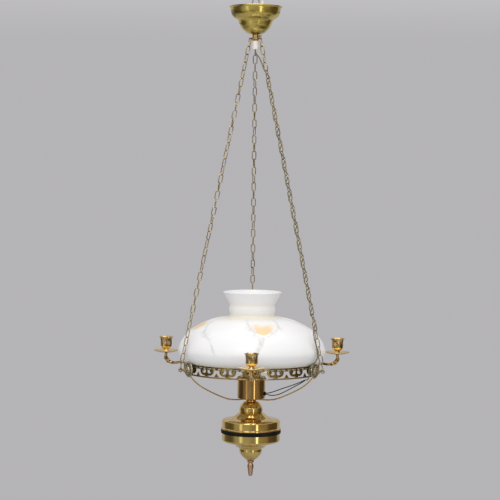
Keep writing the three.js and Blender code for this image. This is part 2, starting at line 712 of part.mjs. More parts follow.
// Support rods from behind the rosettes to the hub under the burner drum.
function makeSupportRod() {
  const radius = supportRod.wire / 2;
  const outside = gallery.radius + gallery.proud + seatGap + radius;
  const tail = hubTop - hub.height / 2;
  const span = outside - hub.radius;
  const fall = galleryBottom - tail;
  const lineShares = [
    [0.965, 0.09], [0.83, 0.38], [0.667, 0.61], [0.545, 0.755], [0.43, 0.875],
    [0.34, 0.95], [0.24, 0.99], [0.15, 1],
  ];
  const points = [
    [outside, galleryBottom + 2 * supportRod.wire],
    [outside, galleryBottom + radius],
    [outside, galleryBottom - radius / 2],
    [outside - radius, galleryBottom - 1.6 * radius],
    ...lineShares.map(([reach, drop]) => [
      hub.radius + reach * span, galleryBottom - radius - seatGap - drop * (fall - radius - seatGap),
    ]),
    [hub.radius + seatGap, tail],
  ];
  return sweep(polygon(radius, 6), inPlane(points));
}

const supportRodShape = makeSupportRod();
chainGroups.forEach((group, i) => piece(`support_rod_${i + 1}`, supportRodShape, brass, group));
piece("rod_hub", tubeRing(rodBore, hub.radius, hubBottom, hubTop, 18), brass);

// Burner drum with its cable hole, flared collar and grommet.
function makeDrum() {
  const r = drum.radius;
  const outline = [
    [drum.mouth, drumTop], [r - drum.shoulder, drumTop], [r, drumTop - drum.shoulder],
    [r, drumBottom + drum.wall], [r - drum.wall / 2, drumBottom], [rodBore, drumBottom],
  ];
  const w = drum.wall;
  const inner = [
    [rodBore, drumBottom + w], [r - w, drumBottom + w], [r - w, drumTop - drum.shoulder],
    [r - drum.shoulder, drumTop - w], [drum.mouth, drumTop - w],
  ];
  const hole = alongX(rod(cableHole.radius, r - 3 * w, r + 3 * w, 10));
  return revolve([...outline, ...inner, outline[0]], 20)
    .subtract(moved(hole, 0, 0, drumTop - cableHole.drop).rotate([0, 0, cableHole.angle]));
}

function makeFlare() {
  const low = drumTop + seatGap;
  const high = low + flare.height;
  const outline = [
    [flare.high, high], [flare.low + (flare.high - flare.low) * 0.3, low + flare.height * 0.45],
    [flare.low, low],
  ];
  const inner = outline.map(([r, z]) => [r - flare.wall, z]).reverse();
  return revolve([...outline, ...inner, outline[0]], 20);
}

function makeGrommet() {
  const face = drum.radius + seatGap;
  const back = drum.radius - drum.wall - seatGap;
  const neck = cableHole.radius - boreGap;
  const profile = [
    [grommet.bore, back], [neck, back], [neck, face], [grommet.lip, face],
    [grommet.lip, face + grommet.lipThickness], [grommet.bore, face + grommet.lipThickness],
    [grommet.bore, back],
  ];
  return moved(alongX(revolve(profile, 10)), 0, 0, drumTop - cableHole.drop)
    .rotate([0, 0, cableHole.angle]);
}

function makeHolder() {
  const r = holder.radius;
  const top = holderBottom + holder.height;
  const profile = [
    [rodBore, holderBottom], [r, holderBottom], [r, top], [r - holder.wall, top],
    [r - holder.wall, holderFloor], [rodBore, holderFloor], [rodBore, holderBottom],
  ];
  return revolve(profile, 14);
}

// The insert is a porcelain block with its centre contact, standing on the holder's floor.
const insertBottom = holderFloor + tieRod.intoHolder + seatGap;
const insertTop = insertBottom + insert.height;
function makeInsert() {
  const profile = [
    [0, insertBottom], [insert.radius, insertBottom], [insert.radius, insertTop],
    [insert.contact, insertTop], [insert.contact, insertTop + insert.contactRise],
    [0, insertTop + insert.contactRise],
  ];
  return revolve(profile, 12);
}

const capBottom = insertTop + insert.contactRise + seatGap;
const capTop = capBottom + bulbCap.tipHeight + bulbCap.height;
function makeBulbCap() {
  const profile = [
    [0, capBottom], [bulbCap.tip, capBottom], [bulbCap.radius, capBottom + bulbCap.tipHeight],
    [bulbCap.radius, capTop], [0, capTop],
  ];
  return revolve(profile, 12);
}

function makeBulb() {
  const [r, h, low] = [bulb.radius, bulb.height, capTop + seatGap];
  const outlineShares = [
    [0, 1], [0.62, 0.94], [0.95, 0.82], [1, 0.68], [0.62, 0.33], [0.48, 0.16],
  ];
  const outline = outlineShares.map(([radius, z]) => [radius * r, low + z * h]);
  outline.push([bulb.neck, low]);
  const inner = outline
    .slice(1)
    .map(([radius, z]) => [radius - bulb.wall, z - (bulb.wall * (z - low)) / h]);
  return revolve([...outline, ...inner.reverse(), [0, low + h - bulb.wall]], 12);
}

piece("burner_drum", makeDrum(), brass);
piece("burner_collar", makeFlare(), brass);
piece("cable_grommet", makeGrommet(), blackRubber);
piece("lampholder_shell", makeHolder(), brass);
piece("lampholder_insert", makeInsert(), porcelain);
piece("bulb_cap", makeBulbCap(), steel);
piece("bulb_glass", makeBulb(), clearGlass);

// Lower body, clamped by the tie rod and the finial.
function makeKnop() {
  const [r, h] = [knop.radius, knop.height];
  const outlineShares = [[0.62, 0.15], [0.8, 0.32], [0.93, 0.52], [1, 0.76], [0.965, 1]];
  const profile = [
    [rodBore, knopTop], [knop.collar, knopTop], [knop.collar, knopTop - h * 0.12],
    ...outlineShares.map(([radius, drop]) => [radius * r, knopTop - drop * h]),
    [rodBore, knopBottom], [rodBore, knopTop],
  ];
  return revolve(profile, 20);
}

function makeUpperDrum() {
  const [r, h] = [upperDrum.radius, upperDrum.height];
  const beadShare = 0.936;
  const outlineShares = [
    [0.44, 0], [0.5, 0.1], [0.57, 0.205], [0.66, 0.29], [0.85, 0.35], [0.975, 0.43], [1, 0.52],
  ];
  const innerShares = [[1, 0.52], [0.85, 0.35], [0.57, 0.205]];
  const beadZ = upperDrumTop - h * beadShare;
  const outline = [
    [rodBore, upperDrumTop],
    ...outlineShares.map(([radius, drop]) => [radius * r, upperDrumTop - drop * h]),
    [r, beadZ + upperDrum.bead], [r + upperDrum.bead, beadZ], [r, beadZ - upperDrum.bead],
    [r, upperDrumBottom],
  ];
  const w = upperDrum.wall;
  const inner = [
    [r - w, upperDrumBottom],
    ...innerShares.map(([radius, drop]) => [radius * r - w, upperDrumTop - w - drop * h]),
    [outlineShares[0][0] * r, upperDrumTop - w], [rodBore, upperDrumTop - w], [rodBore, upperDrumTop],
  ];
  return revolve([...outline, ...inner], 24);
}

function makeLowerDrum() {
  const [r, h] = [lowerDrum.radius, lowerDrum.height];
  const outlineShares = [
    [1, 0], [1, 0.262], [0.91, 0.315], [0.587, 0.41], [0.5, 0.493], [0.4, 0.55], [0.395, 0.64],
    [0.355, 0.76], [0.245, 0.89], [0.18, 0.96], [0.127, 1],
  ];
  const outline = outlineShares.map(([radius, drop]) => [radius * r, lowerDrumTop - drop * h]);
  const w = lowerDrum.wall;
  const innerShares = [
    [0.127, 1], [0.245, 0.89], [0.355, 0.76], [0.4, 0.55], [0.587, 0.41], [1, 0.262], [1, 0],
  ];
  const inner = innerShares.map(([radius, drop]) => [
    radius * r - w,
    Math.min(lowerDrumTop - drop * h + w, lowerDrumTop),
  ]);
  return revolve([
    ...outline, [rodBore, lowerDrumBottom], [rodBore, lowerDrumBottom + w], ...inner, outline[0],
  ], 24);
}

const rodEnd = finialTop - tieRod.intoFinial;
function makeFinial() {
  const [r, h] = [finial.radius, finial.height];
  const outlineShares = [
    [1, 0], [1, 0.1], [0.69, 0.14], [0.93, 0.33], [0.8, 0.56], [0.66, 0.82], [0.52, 0.96], [0.3, 1],
  ];
  const well = rodEnd - seatGap;
  const profile = [
    [0, well], [rodBore, well], [rodBore, finialTop],
    ...outlineShares.map(([radius, drop]) => [radius * r, finialTop - drop * h]),
    [0, finialTop - h],
  ];
  return revolve(profile, 12);
}

piece("tie_rod", rod(tieRod.radius, rodEnd, holderFloor + tieRod.intoHolder, 12), steel);
piece("ball_knop", makeKnop(), brass);
piece("upper_drum_shell", makeUpperDrum(), brass);
piece("drum_gasket", tubeRing(gasket.inner, gasket.radius, gasketBottom, gasketTop, 24), blackRubber);
piece("lower_drum_shell", makeLowerDrum(), brass);
piece("finial", makeFinial(), bronze);

// The lower flex is woven through the chain on its station, then runs down behind the rosette.
// Its first points are counted from the grip's foot; those near the ring, and those of its cores,
// are counted from the ring's top.
function junction(i) {
  const along = linkInner + i * pitch - link.bite / 2;
  const sign = i % 2 ? -1 : 1;
  const place = chainStart.clone().addScaledVector(chainAlong, along);
  place.addScaledVector(chainAcross, sign * flex.weave);
  return place.add(new THREE.Vector3(0, sign * flex.weave, 0));
}

const leaveGrip = [
  [0, 0, -seatGap], [0.6, -0.3, -4.6], [4.2, -1.4, -9.8], [9.6, -2.5, -15.2], [14.2, -2.8, -22],
  [18, -2.9, -30],
];
const leaveChain = [
  [151.1, -6.7, 59.7], [155.9, -7, 43.7], [158.9, -7, 31.7], [160.6, -8, 20.7],
  [158.6, -11.4, 12.2], [153.6, -15, 5.2], [148.6, -17.2, -0.8], [145.9, -17, -6.8],
  [145.5, -16.4, -14.3], [145.4, -16.4, -21.8], [143.4, -16.8, -26.3], [139.2, -17.6, -28.3],
];

function makeLowerFlex() {
  const points = leaveGrip.map(([x, y, rise]) => new THREE.Vector3(x, y, gripBottom + rise));
  for (let i = flex.firstJunction; i <= flex.lastJunction; i++) points.push(junction(i));
  points.push(...leaveChain.map(([x, y, rise]) => new THREE.Vector3(x, y, galleryTop + rise)));
  return sweep(polygon(lineRadius, 8), points);
}

// Past the ring the flex is split: one core runs nearly straight to the burner, one sags.
const upperCorePoints = [
  [110.8, -83.6, -27.5], [104, -77.2, -31.9], [86, -61, -41.5], [62, -38.5, -52.9],
  [44, -21, -61.9], [35.6, -11.4, -65.3], [31.6, -8.4, -65.9], [27.4, -7.3, -65.9],
];
const lowerCorePoints = [
  [109.6, -85.2, -29.1], [102, -78.6, -35.1], [88, -65, -44.7], [72.5, -49.4, -55.5],
  [58, -35.6, -64.3], [44, -21.6, -68.9], [35.8, -11.6, -69.1], [31.7, -8.5, -68.4], [27.5, -7.4, -68.25],
];

piece("flex_lower", makeLowerFlex(), darkFlex, chainGroups[cordStation]);
const onRing = (points) => points.map(([x, y, rise]) => [x, y, galleryTop + rise]);
piece("flex_core_1", line(onRing(upperCorePoints), core.diameter), darkFlex);
piece("flex_core_2", line(onRing(lowerCorePoints), core.diameter), darkFlex);

export default chandelier;
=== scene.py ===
"""A brass chandelier with an opal glass shade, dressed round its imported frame.

The lamp hangs from a wire bail. Three chains carry a pierced gallery ring, in which the glass stands,
and three candle arms are screwed to the ring. A turned brass body with a finial hangs under the burner.
Sizes are in millimetres in the classes and become metres where a mesh is made. The origin is the
inside top of the bail, +Z is up and the front of the lamp faces -Y.
"""

# fmt: off
from __future__ import annotations

import json
import logging
import math
from abc import ABC, abstractmethod
from collections.abc import Callable, Sequence
from dataclasses import dataclass
from enum import Enum
from typing import Any

import bmesh
import bpy
import numpy as np
from mathutils import Matrix, Vector
from numpy.typing import NDArray

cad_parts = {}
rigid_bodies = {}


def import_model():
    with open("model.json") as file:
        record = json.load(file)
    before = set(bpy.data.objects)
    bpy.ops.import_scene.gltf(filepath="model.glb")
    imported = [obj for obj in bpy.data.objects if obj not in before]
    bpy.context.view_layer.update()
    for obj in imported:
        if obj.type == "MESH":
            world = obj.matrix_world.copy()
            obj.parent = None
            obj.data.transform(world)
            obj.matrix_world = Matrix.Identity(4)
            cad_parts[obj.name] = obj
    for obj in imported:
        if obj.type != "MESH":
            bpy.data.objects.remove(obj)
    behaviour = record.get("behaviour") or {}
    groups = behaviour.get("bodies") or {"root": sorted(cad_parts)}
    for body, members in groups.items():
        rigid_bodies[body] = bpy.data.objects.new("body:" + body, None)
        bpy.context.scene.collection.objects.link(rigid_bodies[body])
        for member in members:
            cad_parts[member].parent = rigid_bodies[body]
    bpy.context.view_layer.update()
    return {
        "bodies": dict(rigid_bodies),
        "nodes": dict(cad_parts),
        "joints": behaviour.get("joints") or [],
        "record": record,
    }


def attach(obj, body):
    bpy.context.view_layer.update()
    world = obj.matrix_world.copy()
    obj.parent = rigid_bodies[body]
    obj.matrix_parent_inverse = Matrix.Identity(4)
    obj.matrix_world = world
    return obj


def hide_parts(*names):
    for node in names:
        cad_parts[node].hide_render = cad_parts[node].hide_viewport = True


Array = NDArray[np.float64]
Points = Array | Sequence[Sequence[float]]
Pair = tuple[float, float]
Relief = Callable[[Array, Array, Array], tuple[Array, Array]]
Colour = tuple[float, float, float]
Vein = tuple[tuple[float, ...], tuple[float, ...]]
Socket = bpy.types.NodeSocket

LOG = logging.getLogger("chandelier")
MILLIMETRE = 0.001
WELD = 1e-6
CHAIN_STATIONS = (90.0, 210.0, 330.0)
ARM_STATIONS = (270.0, 30.0, 150.0)
FRONT = 270.0
ACROSS = (0.0, 1.0, 0.0)
# where an S-hook hangs in its eye bolt, at angle 0
HOOK_FOOT = (168.5, 0.0, -769.3)
# a corner that turns by more degrees than this is rounded, by at most this share of its shorter side
SHARP_TURN = 24.0
CORNER_SHARE = 0.22
# the shares of the glass's height at which most of its veins are placed
VEIN_SHARES = (0.18, 0.3, 0.4, 0.47, 0.56, 0.66)
# the marbling's inputs, and the attributes of the glass that fill them
GLASS_FIELDS = {
    "Patch": "patch", "Left Vein": "vein_left", "Right Vein": "vein_right", "Fade": "vein_fade",
    "Smudge": "smudge",
}


class Body(Enum):
    """The moving bodies of the lamp."""

    HANGER = "hanger"
    STEM = "stem"
    CANOPY = "canopy"
    LOCK_SCREW = "lock_screw"
    LAMP = "lamp"
    SHADE = "shade"
    BULB = "bulb"
    FINIAL = "finial"


class Slot(Enum):
    """The record's material slots."""

    BRASS = "polished_brass"
    PALE_BRASS = "pale_brass"
    BRONZE = "bronze"
    STEEL = "steel"
    OPAL = "opal_glass"
    CLEAR = "clear_glass"
    WHITE_PLASTIC = "white_plastic"
    RUBBER = "black_rubber"
    PORCELAIN = "porcelain"
    FLEX = "dark_flex"


# Lines, sections and closed surfaces


def unit(vectors: Array) -> Array:
    """Scales each vector to length one.

    Args:
        vectors: Rows of vectors.

    Returns:
        The rows divided by their lengths.
    """
    return vectors / np.linalg.norm(vectors, axis=-1, keepdims=True)


def ease(value: Array, low: float, high: float) -> Array:
    """Rises from 0 at low to 1 at high along 3t^2 - 2t^3; high may lie below low.

    Args:
        value: Where the step is read.
        low: Where it is 0.
        high: Where it is 1.

    Returns:
        The height of the step.
    """
    share = np.clip((value - low) / (high - low), 0.0, 1.0)
    return share * share * (3.0 - 2.0 * share)


def smooth_line(points: Points, samples: int = 6, corners: Sequence[int] = ()) -> Array:
    """Draws a smooth line through points, with a sharp corner at those that are listed.

    Between two points the line is the cubic that has their places and their tangents; a tangent is the
    slope of the places over the length along the points. A run of two points stays straight.

    Args:
        points: The points, in two or three dimensions.
        samples: How many places are worked out between two points.
        corners: The numbers of the points where the line turns sharply.

    Returns:
        The places along the line, first and last point included.
    """
    places = np.asarray(points, float)
    stops = sorted({0, len(places) - 1, *corners})
    runs = []
    for first, last in zip(stops, stops[1:]):
        run = places[first : last + 1]
        if len(run) == 2:
            runs.append(run[:1])
            continue
        length = np.concatenate([[0.0], np.cumsum(np.linalg.norm(np.diff(run, axis=0), axis=1))])
        slope = np.gradient(run, length, axis=0)
        step = np.diff(length)[:, None, None]
        u = np.linspace(0.0, 1.0, samples, endpoint=False)[None, :, None]
        start, end = run[:-1, None, :], run[1:, None, :]
        leave, arrive = slope[:-1, None, :] * step, slope[1:, None, :] * step
        line = (2 * u**3 - 3 * u**2 + 1) * start + (u**3 - 2 * u**2 + u) * leave
        line = line + (3 * u**2 - 2 * u**3) * end + (u**3 - u**2) * arrive
        runs.append(line.reshape(-1, places.shape[1]))
    return np.concatenate([*runs, places[-1:]])


def fillet(points: Points, radius: float, closed: bool) -> Array:
    """Rounds the sharp corners of a flat line.

    A sharp corner is cut back along both sides by the radius, or by about a fifth of the shorter side.
    The middle of the cut is the middle of the parabola through its ends, and one more point on each side
    keeps the flats beyond it flat to the light.

    Args:
        points: The corners of the line.
        radius: How far a corner is cut back.
        closed: Whether the line runs back to its start.

    Returns:
        The line with its corners rounded.
    """
    line = np.asarray(points, float)
    back, ahead = np.roll(line, 1, axis=0) - line, np.roll(line, -1, axis=0) - line
    back_length = np.linalg.norm(back, axis=1) + 1e-9
    ahead_length = np.linalg.norm(ahead, axis=1) + 1e-9
    back, ahead = back / back_length[:, None], ahead / ahead_length[:, None]
    sharp = np.degrees(np.arccos(np.clip(-(back * ahead).sum(axis=1), -1, 1))) > SHARP_TURN
    if not closed:
        sharp[[0, -1]] = False
    cut = np.minimum(radius, CORNER_SHARE * np.minimum(back_length, ahead_length))[:, None]
    parts = np.stack(
        [
            line + 2 * cut * back,
            line + cut * back,
            np.where(sharp[:, None], line + 0.25 * cut * (back + ahead), line),
            line + cut * ahead,
            line + 2 * cut * ahead,
        ],
        axis=1,
    )
    kept = np.repeat(sharp[:, None], 5, axis=1)
    kept[:, 2] = True
    return parts[kept]


def walled(outline: Array, wall: Array | float) -> Array:
    """Closes an outline into a wall: the outline, then the same line moved inwards and read backwards.

    Args:
        outline: Pairs of radius and height, read down the outside.
        wall: The wall's thickness, as one number or as a column with one for each pair.

    Returns:
        The closed line round the wall's section.
    """
    along = unit(np.gradient(outline, axis=0))
    inner = outline + wall * np.stack([along[:, 1], -along[:, 0]], axis=1)
    return np.concatenate([outline, inner[::-1]])


def placed(pairs: Points, x: float = 0.0, z: float = 0.0, scale: Pair = (1.0, 1.0)) -> Array:
    """Scales pairs and moves them by x and z."""
    return np.asarray(pairs, float) * scale + [x, z]


def upright(rows: Points) -> Array:
    """Stands rows of x, z and perhaps more in the plane of X and Z, by a column of y = 0."""
    return np.insert(np.asarray(rows, float), 1, 0.0, axis=1)


def slab(inner: float, outer: float, low: float, high: float) -> list[list[float]]:
    """Gives a rectangle's corners as pairs of radius and height."""
    return [[inner, low], [outer, low], [outer, high], [inner, high]]


def circle(sides: int) -> Array:
    """Gives the corners of a round section of radius one."""
    angle = np.arange(sides) * 2 * np.pi / sides
    return np.stack([np.cos(angle), np.sin(angle)], axis=1)


def cushion_section(sides: int, squareness: float = 0.5) -> Array:
    """Gives a section between a circle and a square: a circle's coordinates are raised to a power below one.

    Args:
        sides: How many corners there are.
        squareness: The power; 1 gives a circle.

    Returns:
        The corners.
    """
    round_section = circle(sides)
    return np.sign(round_section) * np.abs(round_section) ** squareness


@dataclass(frozen=True)
class Shape:
    """A closed surface: corners in millimetres, and faces as rows of four corner numbers."""

    corners: Array
    faces: NDArray[np.int64]

    @staticmethod
    def from_grid(grid: Array, ring: bool) -> Shape:
        """Joins a grid of places into a surface whose columns run all the way round.

        Its volume, the sum of the triple products of the faces' corners, settles which way faces point.

        Args:
            grid: Places, indexed by row and column.
            ring: Whether the last row joins the first. Otherwise both end rows are poles.

        Returns:
            The surface.
        """
        rows, columns = grid.shape[:2]
        number = np.arange(rows * columns).reshape(rows, columns)
        here = number if ring else number[:-1]
        below = np.roll(number, -1, axis=0) if ring else number[1:]
        faces = np.stack([here, np.roll(here, -1, axis=1), np.roll(below, -1, axis=1), below], axis=-1)
        faces = faces.reshape(-1, 4)
        corners = grid.reshape(-1, 3)
        a, b, c, d = (corners[faces[:, i]] for i in range(4))
        volume = (a * np.cross(b, c)).sum() + (a * np.cross(c, d)).sum()
        return Shape(corners, faces if volume > 0 else faces[:, ::-1])

    @staticmethod
    def gathered(shapes: Sequence[Shape]) -> Shape:
        """Puts several surfaces into one piece.

        Args:
            shapes: The surfaces.

        Returns:
            The piece.
        """
        starts = np.cumsum([0, *(len(shape.corners) for shape in shapes[:-1])])
        faces = [shape.faces + start for shape, start in zip(shapes, starts)]
        return Shape(np.concatenate([shape.corners for shape in shapes]), np.concatenate(faces))

    def turned(self, degrees: float) -> Shape:
        """Turns the surface about the Z axis.

        Args:
            degrees: The angle.

        Returns:
            The turned surface.
        """
        cosine, sine = math.cos(math.radians(degrees)), math.sin(math.radians(degrees))
        turn = np.array([[cosine, sine, 0.0], [-sine, cosine, 0.0], [0.0, 0.0, 1.0]])
        return Shape(self.corners @ turn, self.faces)

    def moved(self, x: float = 0.0, y: float = 0.0, z: float = 0.0) -> Shape:
        """Moves the surface."""
        return Shape(self.corners + np.array([x, y, z]), self.faces)

    def along_x(self) -> Shape:
        """Lays a surface that was made along the Z axis along +X."""
        x, y, z = self.corners.T
        return Shape(np.stack([z, y, -x], axis=1), self.faces)

    def round_ring(self, radius: float, degrees: float) -> Shape:
        """Bends a flat surface round the Z axis: x becomes the arc at the radius, and y adds to the radius.

        Args:
            radius: The radius on which arcs keep their length.
            degrees: The angle at which x is zero.

        Returns:
            The bent surface.
        """
        x, y, z = self.corners.T
        angle = x / radius + math.radians(degrees)
        reach = radius + y
        bent = np.stack([reach * np.cos(angle), reach * np.sin(angle), z], axis=1)
        return Shape(bent, self.faces[:, ::-1])


def revolve(profile: Array, segments: int = 128, ring: bool = True, relief: Relief | None = None) -> Shape:
    """Turns a profile about the Z axis: x = r cos a, y = r sin a, with r and z read along the profile.

    Args:
        profile: Pairs of radius and height.
        segments: How many columns there are round the axis.
        ring: Whether the profile closes on itself. Otherwise it starts and ends on the axis.
        relief: Changes radius and height by radius, height and angle.

    Returns:
        The turned surface.
    """
    angle = np.arange(segments)[None, :] * 2 * np.pi / segments
    radius = np.repeat(profile[:, :1], segments, axis=1)
    height = np.repeat(profile[:, 1:], segments, axis=1)
    if relief is not None:
        radius, height = relief(radius, height, angle)
    grid = np.stack([radius * np.cos(angle), radius * np.sin(angle), height], axis=-1)
    return Shape.from_grid(grid, ring)


def turned_bar(points: Points, edge: float = 0.3, segments: int = 48) -> Shape:
    """Turns a profile that starts and ends on the axis, and rounds its sharp edges."""
    return revolve(fillet(points, edge, False), segments, ring=False)


def turned_ring(points: Points, edge: float = 0.3, segments: int = 96) -> Shape:
    """Turns a closed profile and rounds its sharp edges."""
    return revolve(fillet(points, edge, True), segments)


def sweep(
    path: Array,
    section: Array,
    half: Array | float,
    side: Sequence[float] | None = None,
    loop: bool = False,
    swell: Callable[[Array, Array], Array] | None = None,
) -> Shape:
    """Carries a section along a path: place = path + x * side + y * up, where up is along crossed with side.

    With no side given, the section is carried without turning about the path. An open path's ends are
    closed by a step to four fifths of the section and then by a point.

    Args:
        path: The places along the path.
        section: The section's corners at size one.
        half: Half the section's size, as one number, one pair, or a pair for each place.
        side: The direction that the section's x keeps to.
        loop: Whether the path closes on itself.
        swell: Gives a factor on the section's size by the share of the way and the section's angle.

    Returns:
        The swept surface.
    """
    ahead = np.roll(path, -1, axis=0) - np.roll(path, 1, axis=0) if loop else np.gradient(path, axis=0)
    along = unit(ahead)
    if side is not None:
        across = unit(np.asarray(side, float) - along * (along @ np.asarray(side, float))[:, None])
    else:
        start = np.eye(3)[np.argmin(np.abs(along[0]))]
        carried = [unit(start - along[0] * (along[0] @ start))]
        for direction in along[1:]:
            carried.append(unit(carried[-1] - direction * (direction @ carried[-1])))
        across = np.array(carried)
    up = np.cross(along, across)
    size = np.broadcast_to(np.asarray(half, float), (len(path), 2))
    x = section[None, :, 0] * size[:, :1]
    y = section[None, :, 1] * size[:, 1:]
    if swell is not None:
        share = np.linspace(0.0, 1.0, len(path))[:, None]
        factor = swell(share, np.arctan2(section[:, 1], section[:, 0])[None, :])
        x, y = x * factor, y * factor
    offset = x[..., None] * across[:, None] + y[..., None] * up[:, None]
    grid = path[:, None] + offset
    if not loop:
        inset = 0.2 * float(size.min())
        grid[0] += along[0] * inset
        grid[-1] -= along[-1] * inset
        first, last = path[:1, None], path[-1:, None]
        poles = [np.repeat(end, len(section), axis=1) for end in (first, last)]
        grid = np.concatenate([poles[0], first + 0.8 * offset[:1], grid, last + 0.8 * offset[-1:], poles[1]])
    return Shape.from_grid(grid, loop)


def torus(radius: float, wire: float, segments: int = 40, sides: int = 14) -> Shape:
    """Makes a ring of round wire about the Z axis: r = radius + wire/2 cos b, z = wire/2 sin b."""
    return revolve(np.array([radius, 0.0]) + 0.5 * wire * circle(sides), segments)


# Shader node groups and finishes


@dataclass(frozen=True)
class Wires:
    """A node tree, with the nodes that are added to it most. A value is a number, a colour or a socket."""

    tree: bpy.types.NodeTree

    def fill(self, made: Any, inputs: dict[Any, Any]) -> Any:
        """Sets a node's inputs, or links them to sockets.

        Args:
            made: The node.
            inputs: Values by input name or number.

        Returns:
            The node.
        """
        for key, value in inputs.items():
            if isinstance(value, Socket):
                self.tree.links.new(value, made.inputs[key])
            else:
                made.inputs[key].default_value = value
        return made

    def node(self, kind: str, inputs: dict[Any, Any] | None = None, **settings: Any) -> Any:
        """Adds a node, sets its properties and fills its inputs.

        Args:
            kind: The node's type name.
            inputs: Values by input name or number.
            settings: Properties of the node.

        Returns:
            The node.
        """
        made = self.tree.nodes.new(kind)
        for key, value in settings.items():
            setattr(made, key, value)
        return self.fill(made, inputs or {})

    def maths(self, operation: str, *values: Any) -> Socket:
        """Adds a Math node and gives its output."""
        return self.node("ShaderNodeMath", dict(enumerate(values)), operation=operation).outputs[0]

    def times(self, first: Any, second: Any) -> Socket:
        """Multiplies two values."""
        return self.maths("MULTIPLY", first, second)

    def larger(self, first: Any, second: Any) -> Socket:
        """Takes the larger of two values."""
        return self.maths("MAXIMUM", first, second)

    def fused(self, value: Any, factor: Any, added: Any) -> Socket:
        """Works out value * factor + added."""
        return self.maths("MULTIPLY_ADD", value, factor, added)

    def blend(self, factor: Any, first: Any, second: Any) -> Socket:
        """Mixes two colours."""
        return self.node("ShaderNodeMix", {0: factor, 6: first, 7: second}, data_type="RGBA").outputs[2]

    def step(self, value: Any, low: float, high: float) -> Socket:
        """Rises smoothly from 0 at low to 1 at high; high may lie below low."""
        ends = {"Value": value, "From Min": low, "From Max": high}
        return self.node("ShaderNodeMapRange", ends, interpolation_type="SMOOTHSTEP").outputs["Result"]

    def band(self, value: Any, rise: Pair, fall: Pair) -> Socket:
        """Multiplies a step that rises by one that falls."""
        return self.times(self.step(value, *rise), self.step(value, *fall))

    def noise(self, vector: Any, scale: Any, detail: float) -> Socket:
        """Adds a noise texture and gives its value."""
        inputs = {"Vector": vector, "Scale": scale, "Detail": detail}
        return self.node("ShaderNodeTexNoise", inputs).outputs["Fac"]

    def split(self, vector: Any) -> Any:
        """Parts a vector and gives the outputs X, Y and Z."""
        return self.node("ShaderNodeSeparateXYZ", {0: vector}).outputs


class NodeGroup(ABC):
    """A shader node group that is built once and placed in each material with its own values."""

    title: str = ""
    inputs: tuple[tuple[str, str, Any], ...] = ()
    outputs: tuple[tuple[str, str], ...] = (("Colour", "Color"), ("Roughness", "Float"), ("Height", "Float"))

    def __init__(self) -> None:
        """Builds the group's tree with its named sockets."""
        self.tree = bpy.data.node_groups.new(self.title, "ShaderNodeTree")
        for name, kind, value in self.inputs:
            socket = self.tree.interface.new_socket(name, in_out="INPUT", socket_type=f"NodeSocket{kind}")
            if value is not None:
                socket.default_value = value
        for name, kind in self.outputs:
            self.tree.interface.new_socket(name, in_out="OUTPUT", socket_type=f"NodeSocket{kind}")
        wires = Wires(self.tree)
        given, end = wires.node("NodeGroupInput"), wires.node("NodeGroupOutput")
        wires.fill(end, self.build(wires, given.outputs))

    @abstractmethod
    def build(self, wires: Wires, given: Any) -> dict[str, Socket]:
        """Fills the group from its inputs and gives its outputs by name."""

    def place(self, wires: Wires, values: dict[str, Any]) -> Any:
        """Puts the group into a material's tree and gives its outputs."""
        return wires.node("ShaderNodeGroup", values, node_tree=self.tree).outputs


class SoiledGroup(NodeGroup):
    """A group that lays a second colour over the first in clouds, varies the gloss and gives a relief."""

    inputs = (
        ("Vector", "Vector", None),
        ("Colour", "Color", (0.8, 0.8, 0.8, 1.0)),
        ("Soil And Shade", "Color", (0.5, 0.45, 0.4, 1.0)),
        ("Amount", "Float", 0.3),
        ("Scale", "Float", 40.0),
        ("Roughness", "Float", 0.3),
        ("Spread", "Float", 0.1),
    )


class MetalWearAndShade(SoiledGroup):
    """Clouds and specks of tarnish, smudged gloss, and faint dents on a metal surface; on the canopy the
    clouds are also painted reflection, and on the pierced band painted shade.
    """

    title = "metal wear"
    # how much finer the specks and the dents are than the clouds
    speck_fineness = 11.0
    dent_fineness = 4.0
    least_roughness = 0.03

    def build(self, wires: Wires, given: Any) -> dict[str, Socket]:
        """Fills the group: a wide noise lays tarnish clouds, with painted reflection on the canopy and
        painted shade on the pierced band; a fine one specks and smudges, and one between them dents.

        Args:
            wires: The group's tree.
            given: The group's inputs.

        Returns:
            Its outputs by name.
        """
        place, scale = given["Vector"], given["Scale"]
        # tarnish clouds; on the canopy partly painted reflection, on the pierced band partly painted shade
        stain_and_shade = wires.step(wires.noise(place, scale, 5.0), 0.46, 0.72)
        fine = wires.noise(place, wires.times(scale, self.speck_fineness), 4.0)
        speck = wires.step(fine, 0.6, 0.78)
        mask = wires.maths("ADD", stain_and_shade, wires.times(speck, 0.5))
        amount = wires.maths("MINIMUM", wires.times(mask, given["Amount"]), 1.0)
        colour = wires.blend(amount, given["Colour"], given["Soil And Shade"])
        smudge = wires.maths("SUBTRACT", fine, 0.5)
        gloss = wires.maths("ADD", smudge, wires.times(stain_and_shade, 0.6))
        rough = wires.larger(wires.fused(gloss, given["Spread"], given["Roughness"]), self.least_roughness)
        dents = wires.noise(place, wires.times(scale, self.dent_fineness), 2.0)
        return {"Colour": colour, "Roughness": rough, "Height": dents}


class SpunLines(NodeGroup):
    """The fine rings that a turning tool leaves round the lamp's axis."""

    title = "spun lines"
    inputs = (("Vector", "Vector", None), ("Rings", "Float", 900.0), ("Depth", "Float", 0.5))
    outputs = (("Height", "Float"),)

    def build(self, wires: Wires, given: Any) -> dict[str, Socket]:
        """Fills the group: the noise is read by height and by distance from the axis, root of x^2 + y^2.

        Args:
            wires: The group's tree.
            given: The group's inputs.

        Returns:
            Its outputs by name.
        """
        part = wires.split(given["Vector"])
        square = wires.fused(part["Y"], part["Y"], wires.times(part["X"], part["X"]))
        reach = wires.maths("SQRT", square)
        place = wires.node("ShaderNodeCombineXYZ", {0: reach, 1: 0.0, 2: part["Z"]}).outputs[0]
        return {"Height": wires.times(wires.noise(place, given["Rings"], 2.0), given["Depth"])}


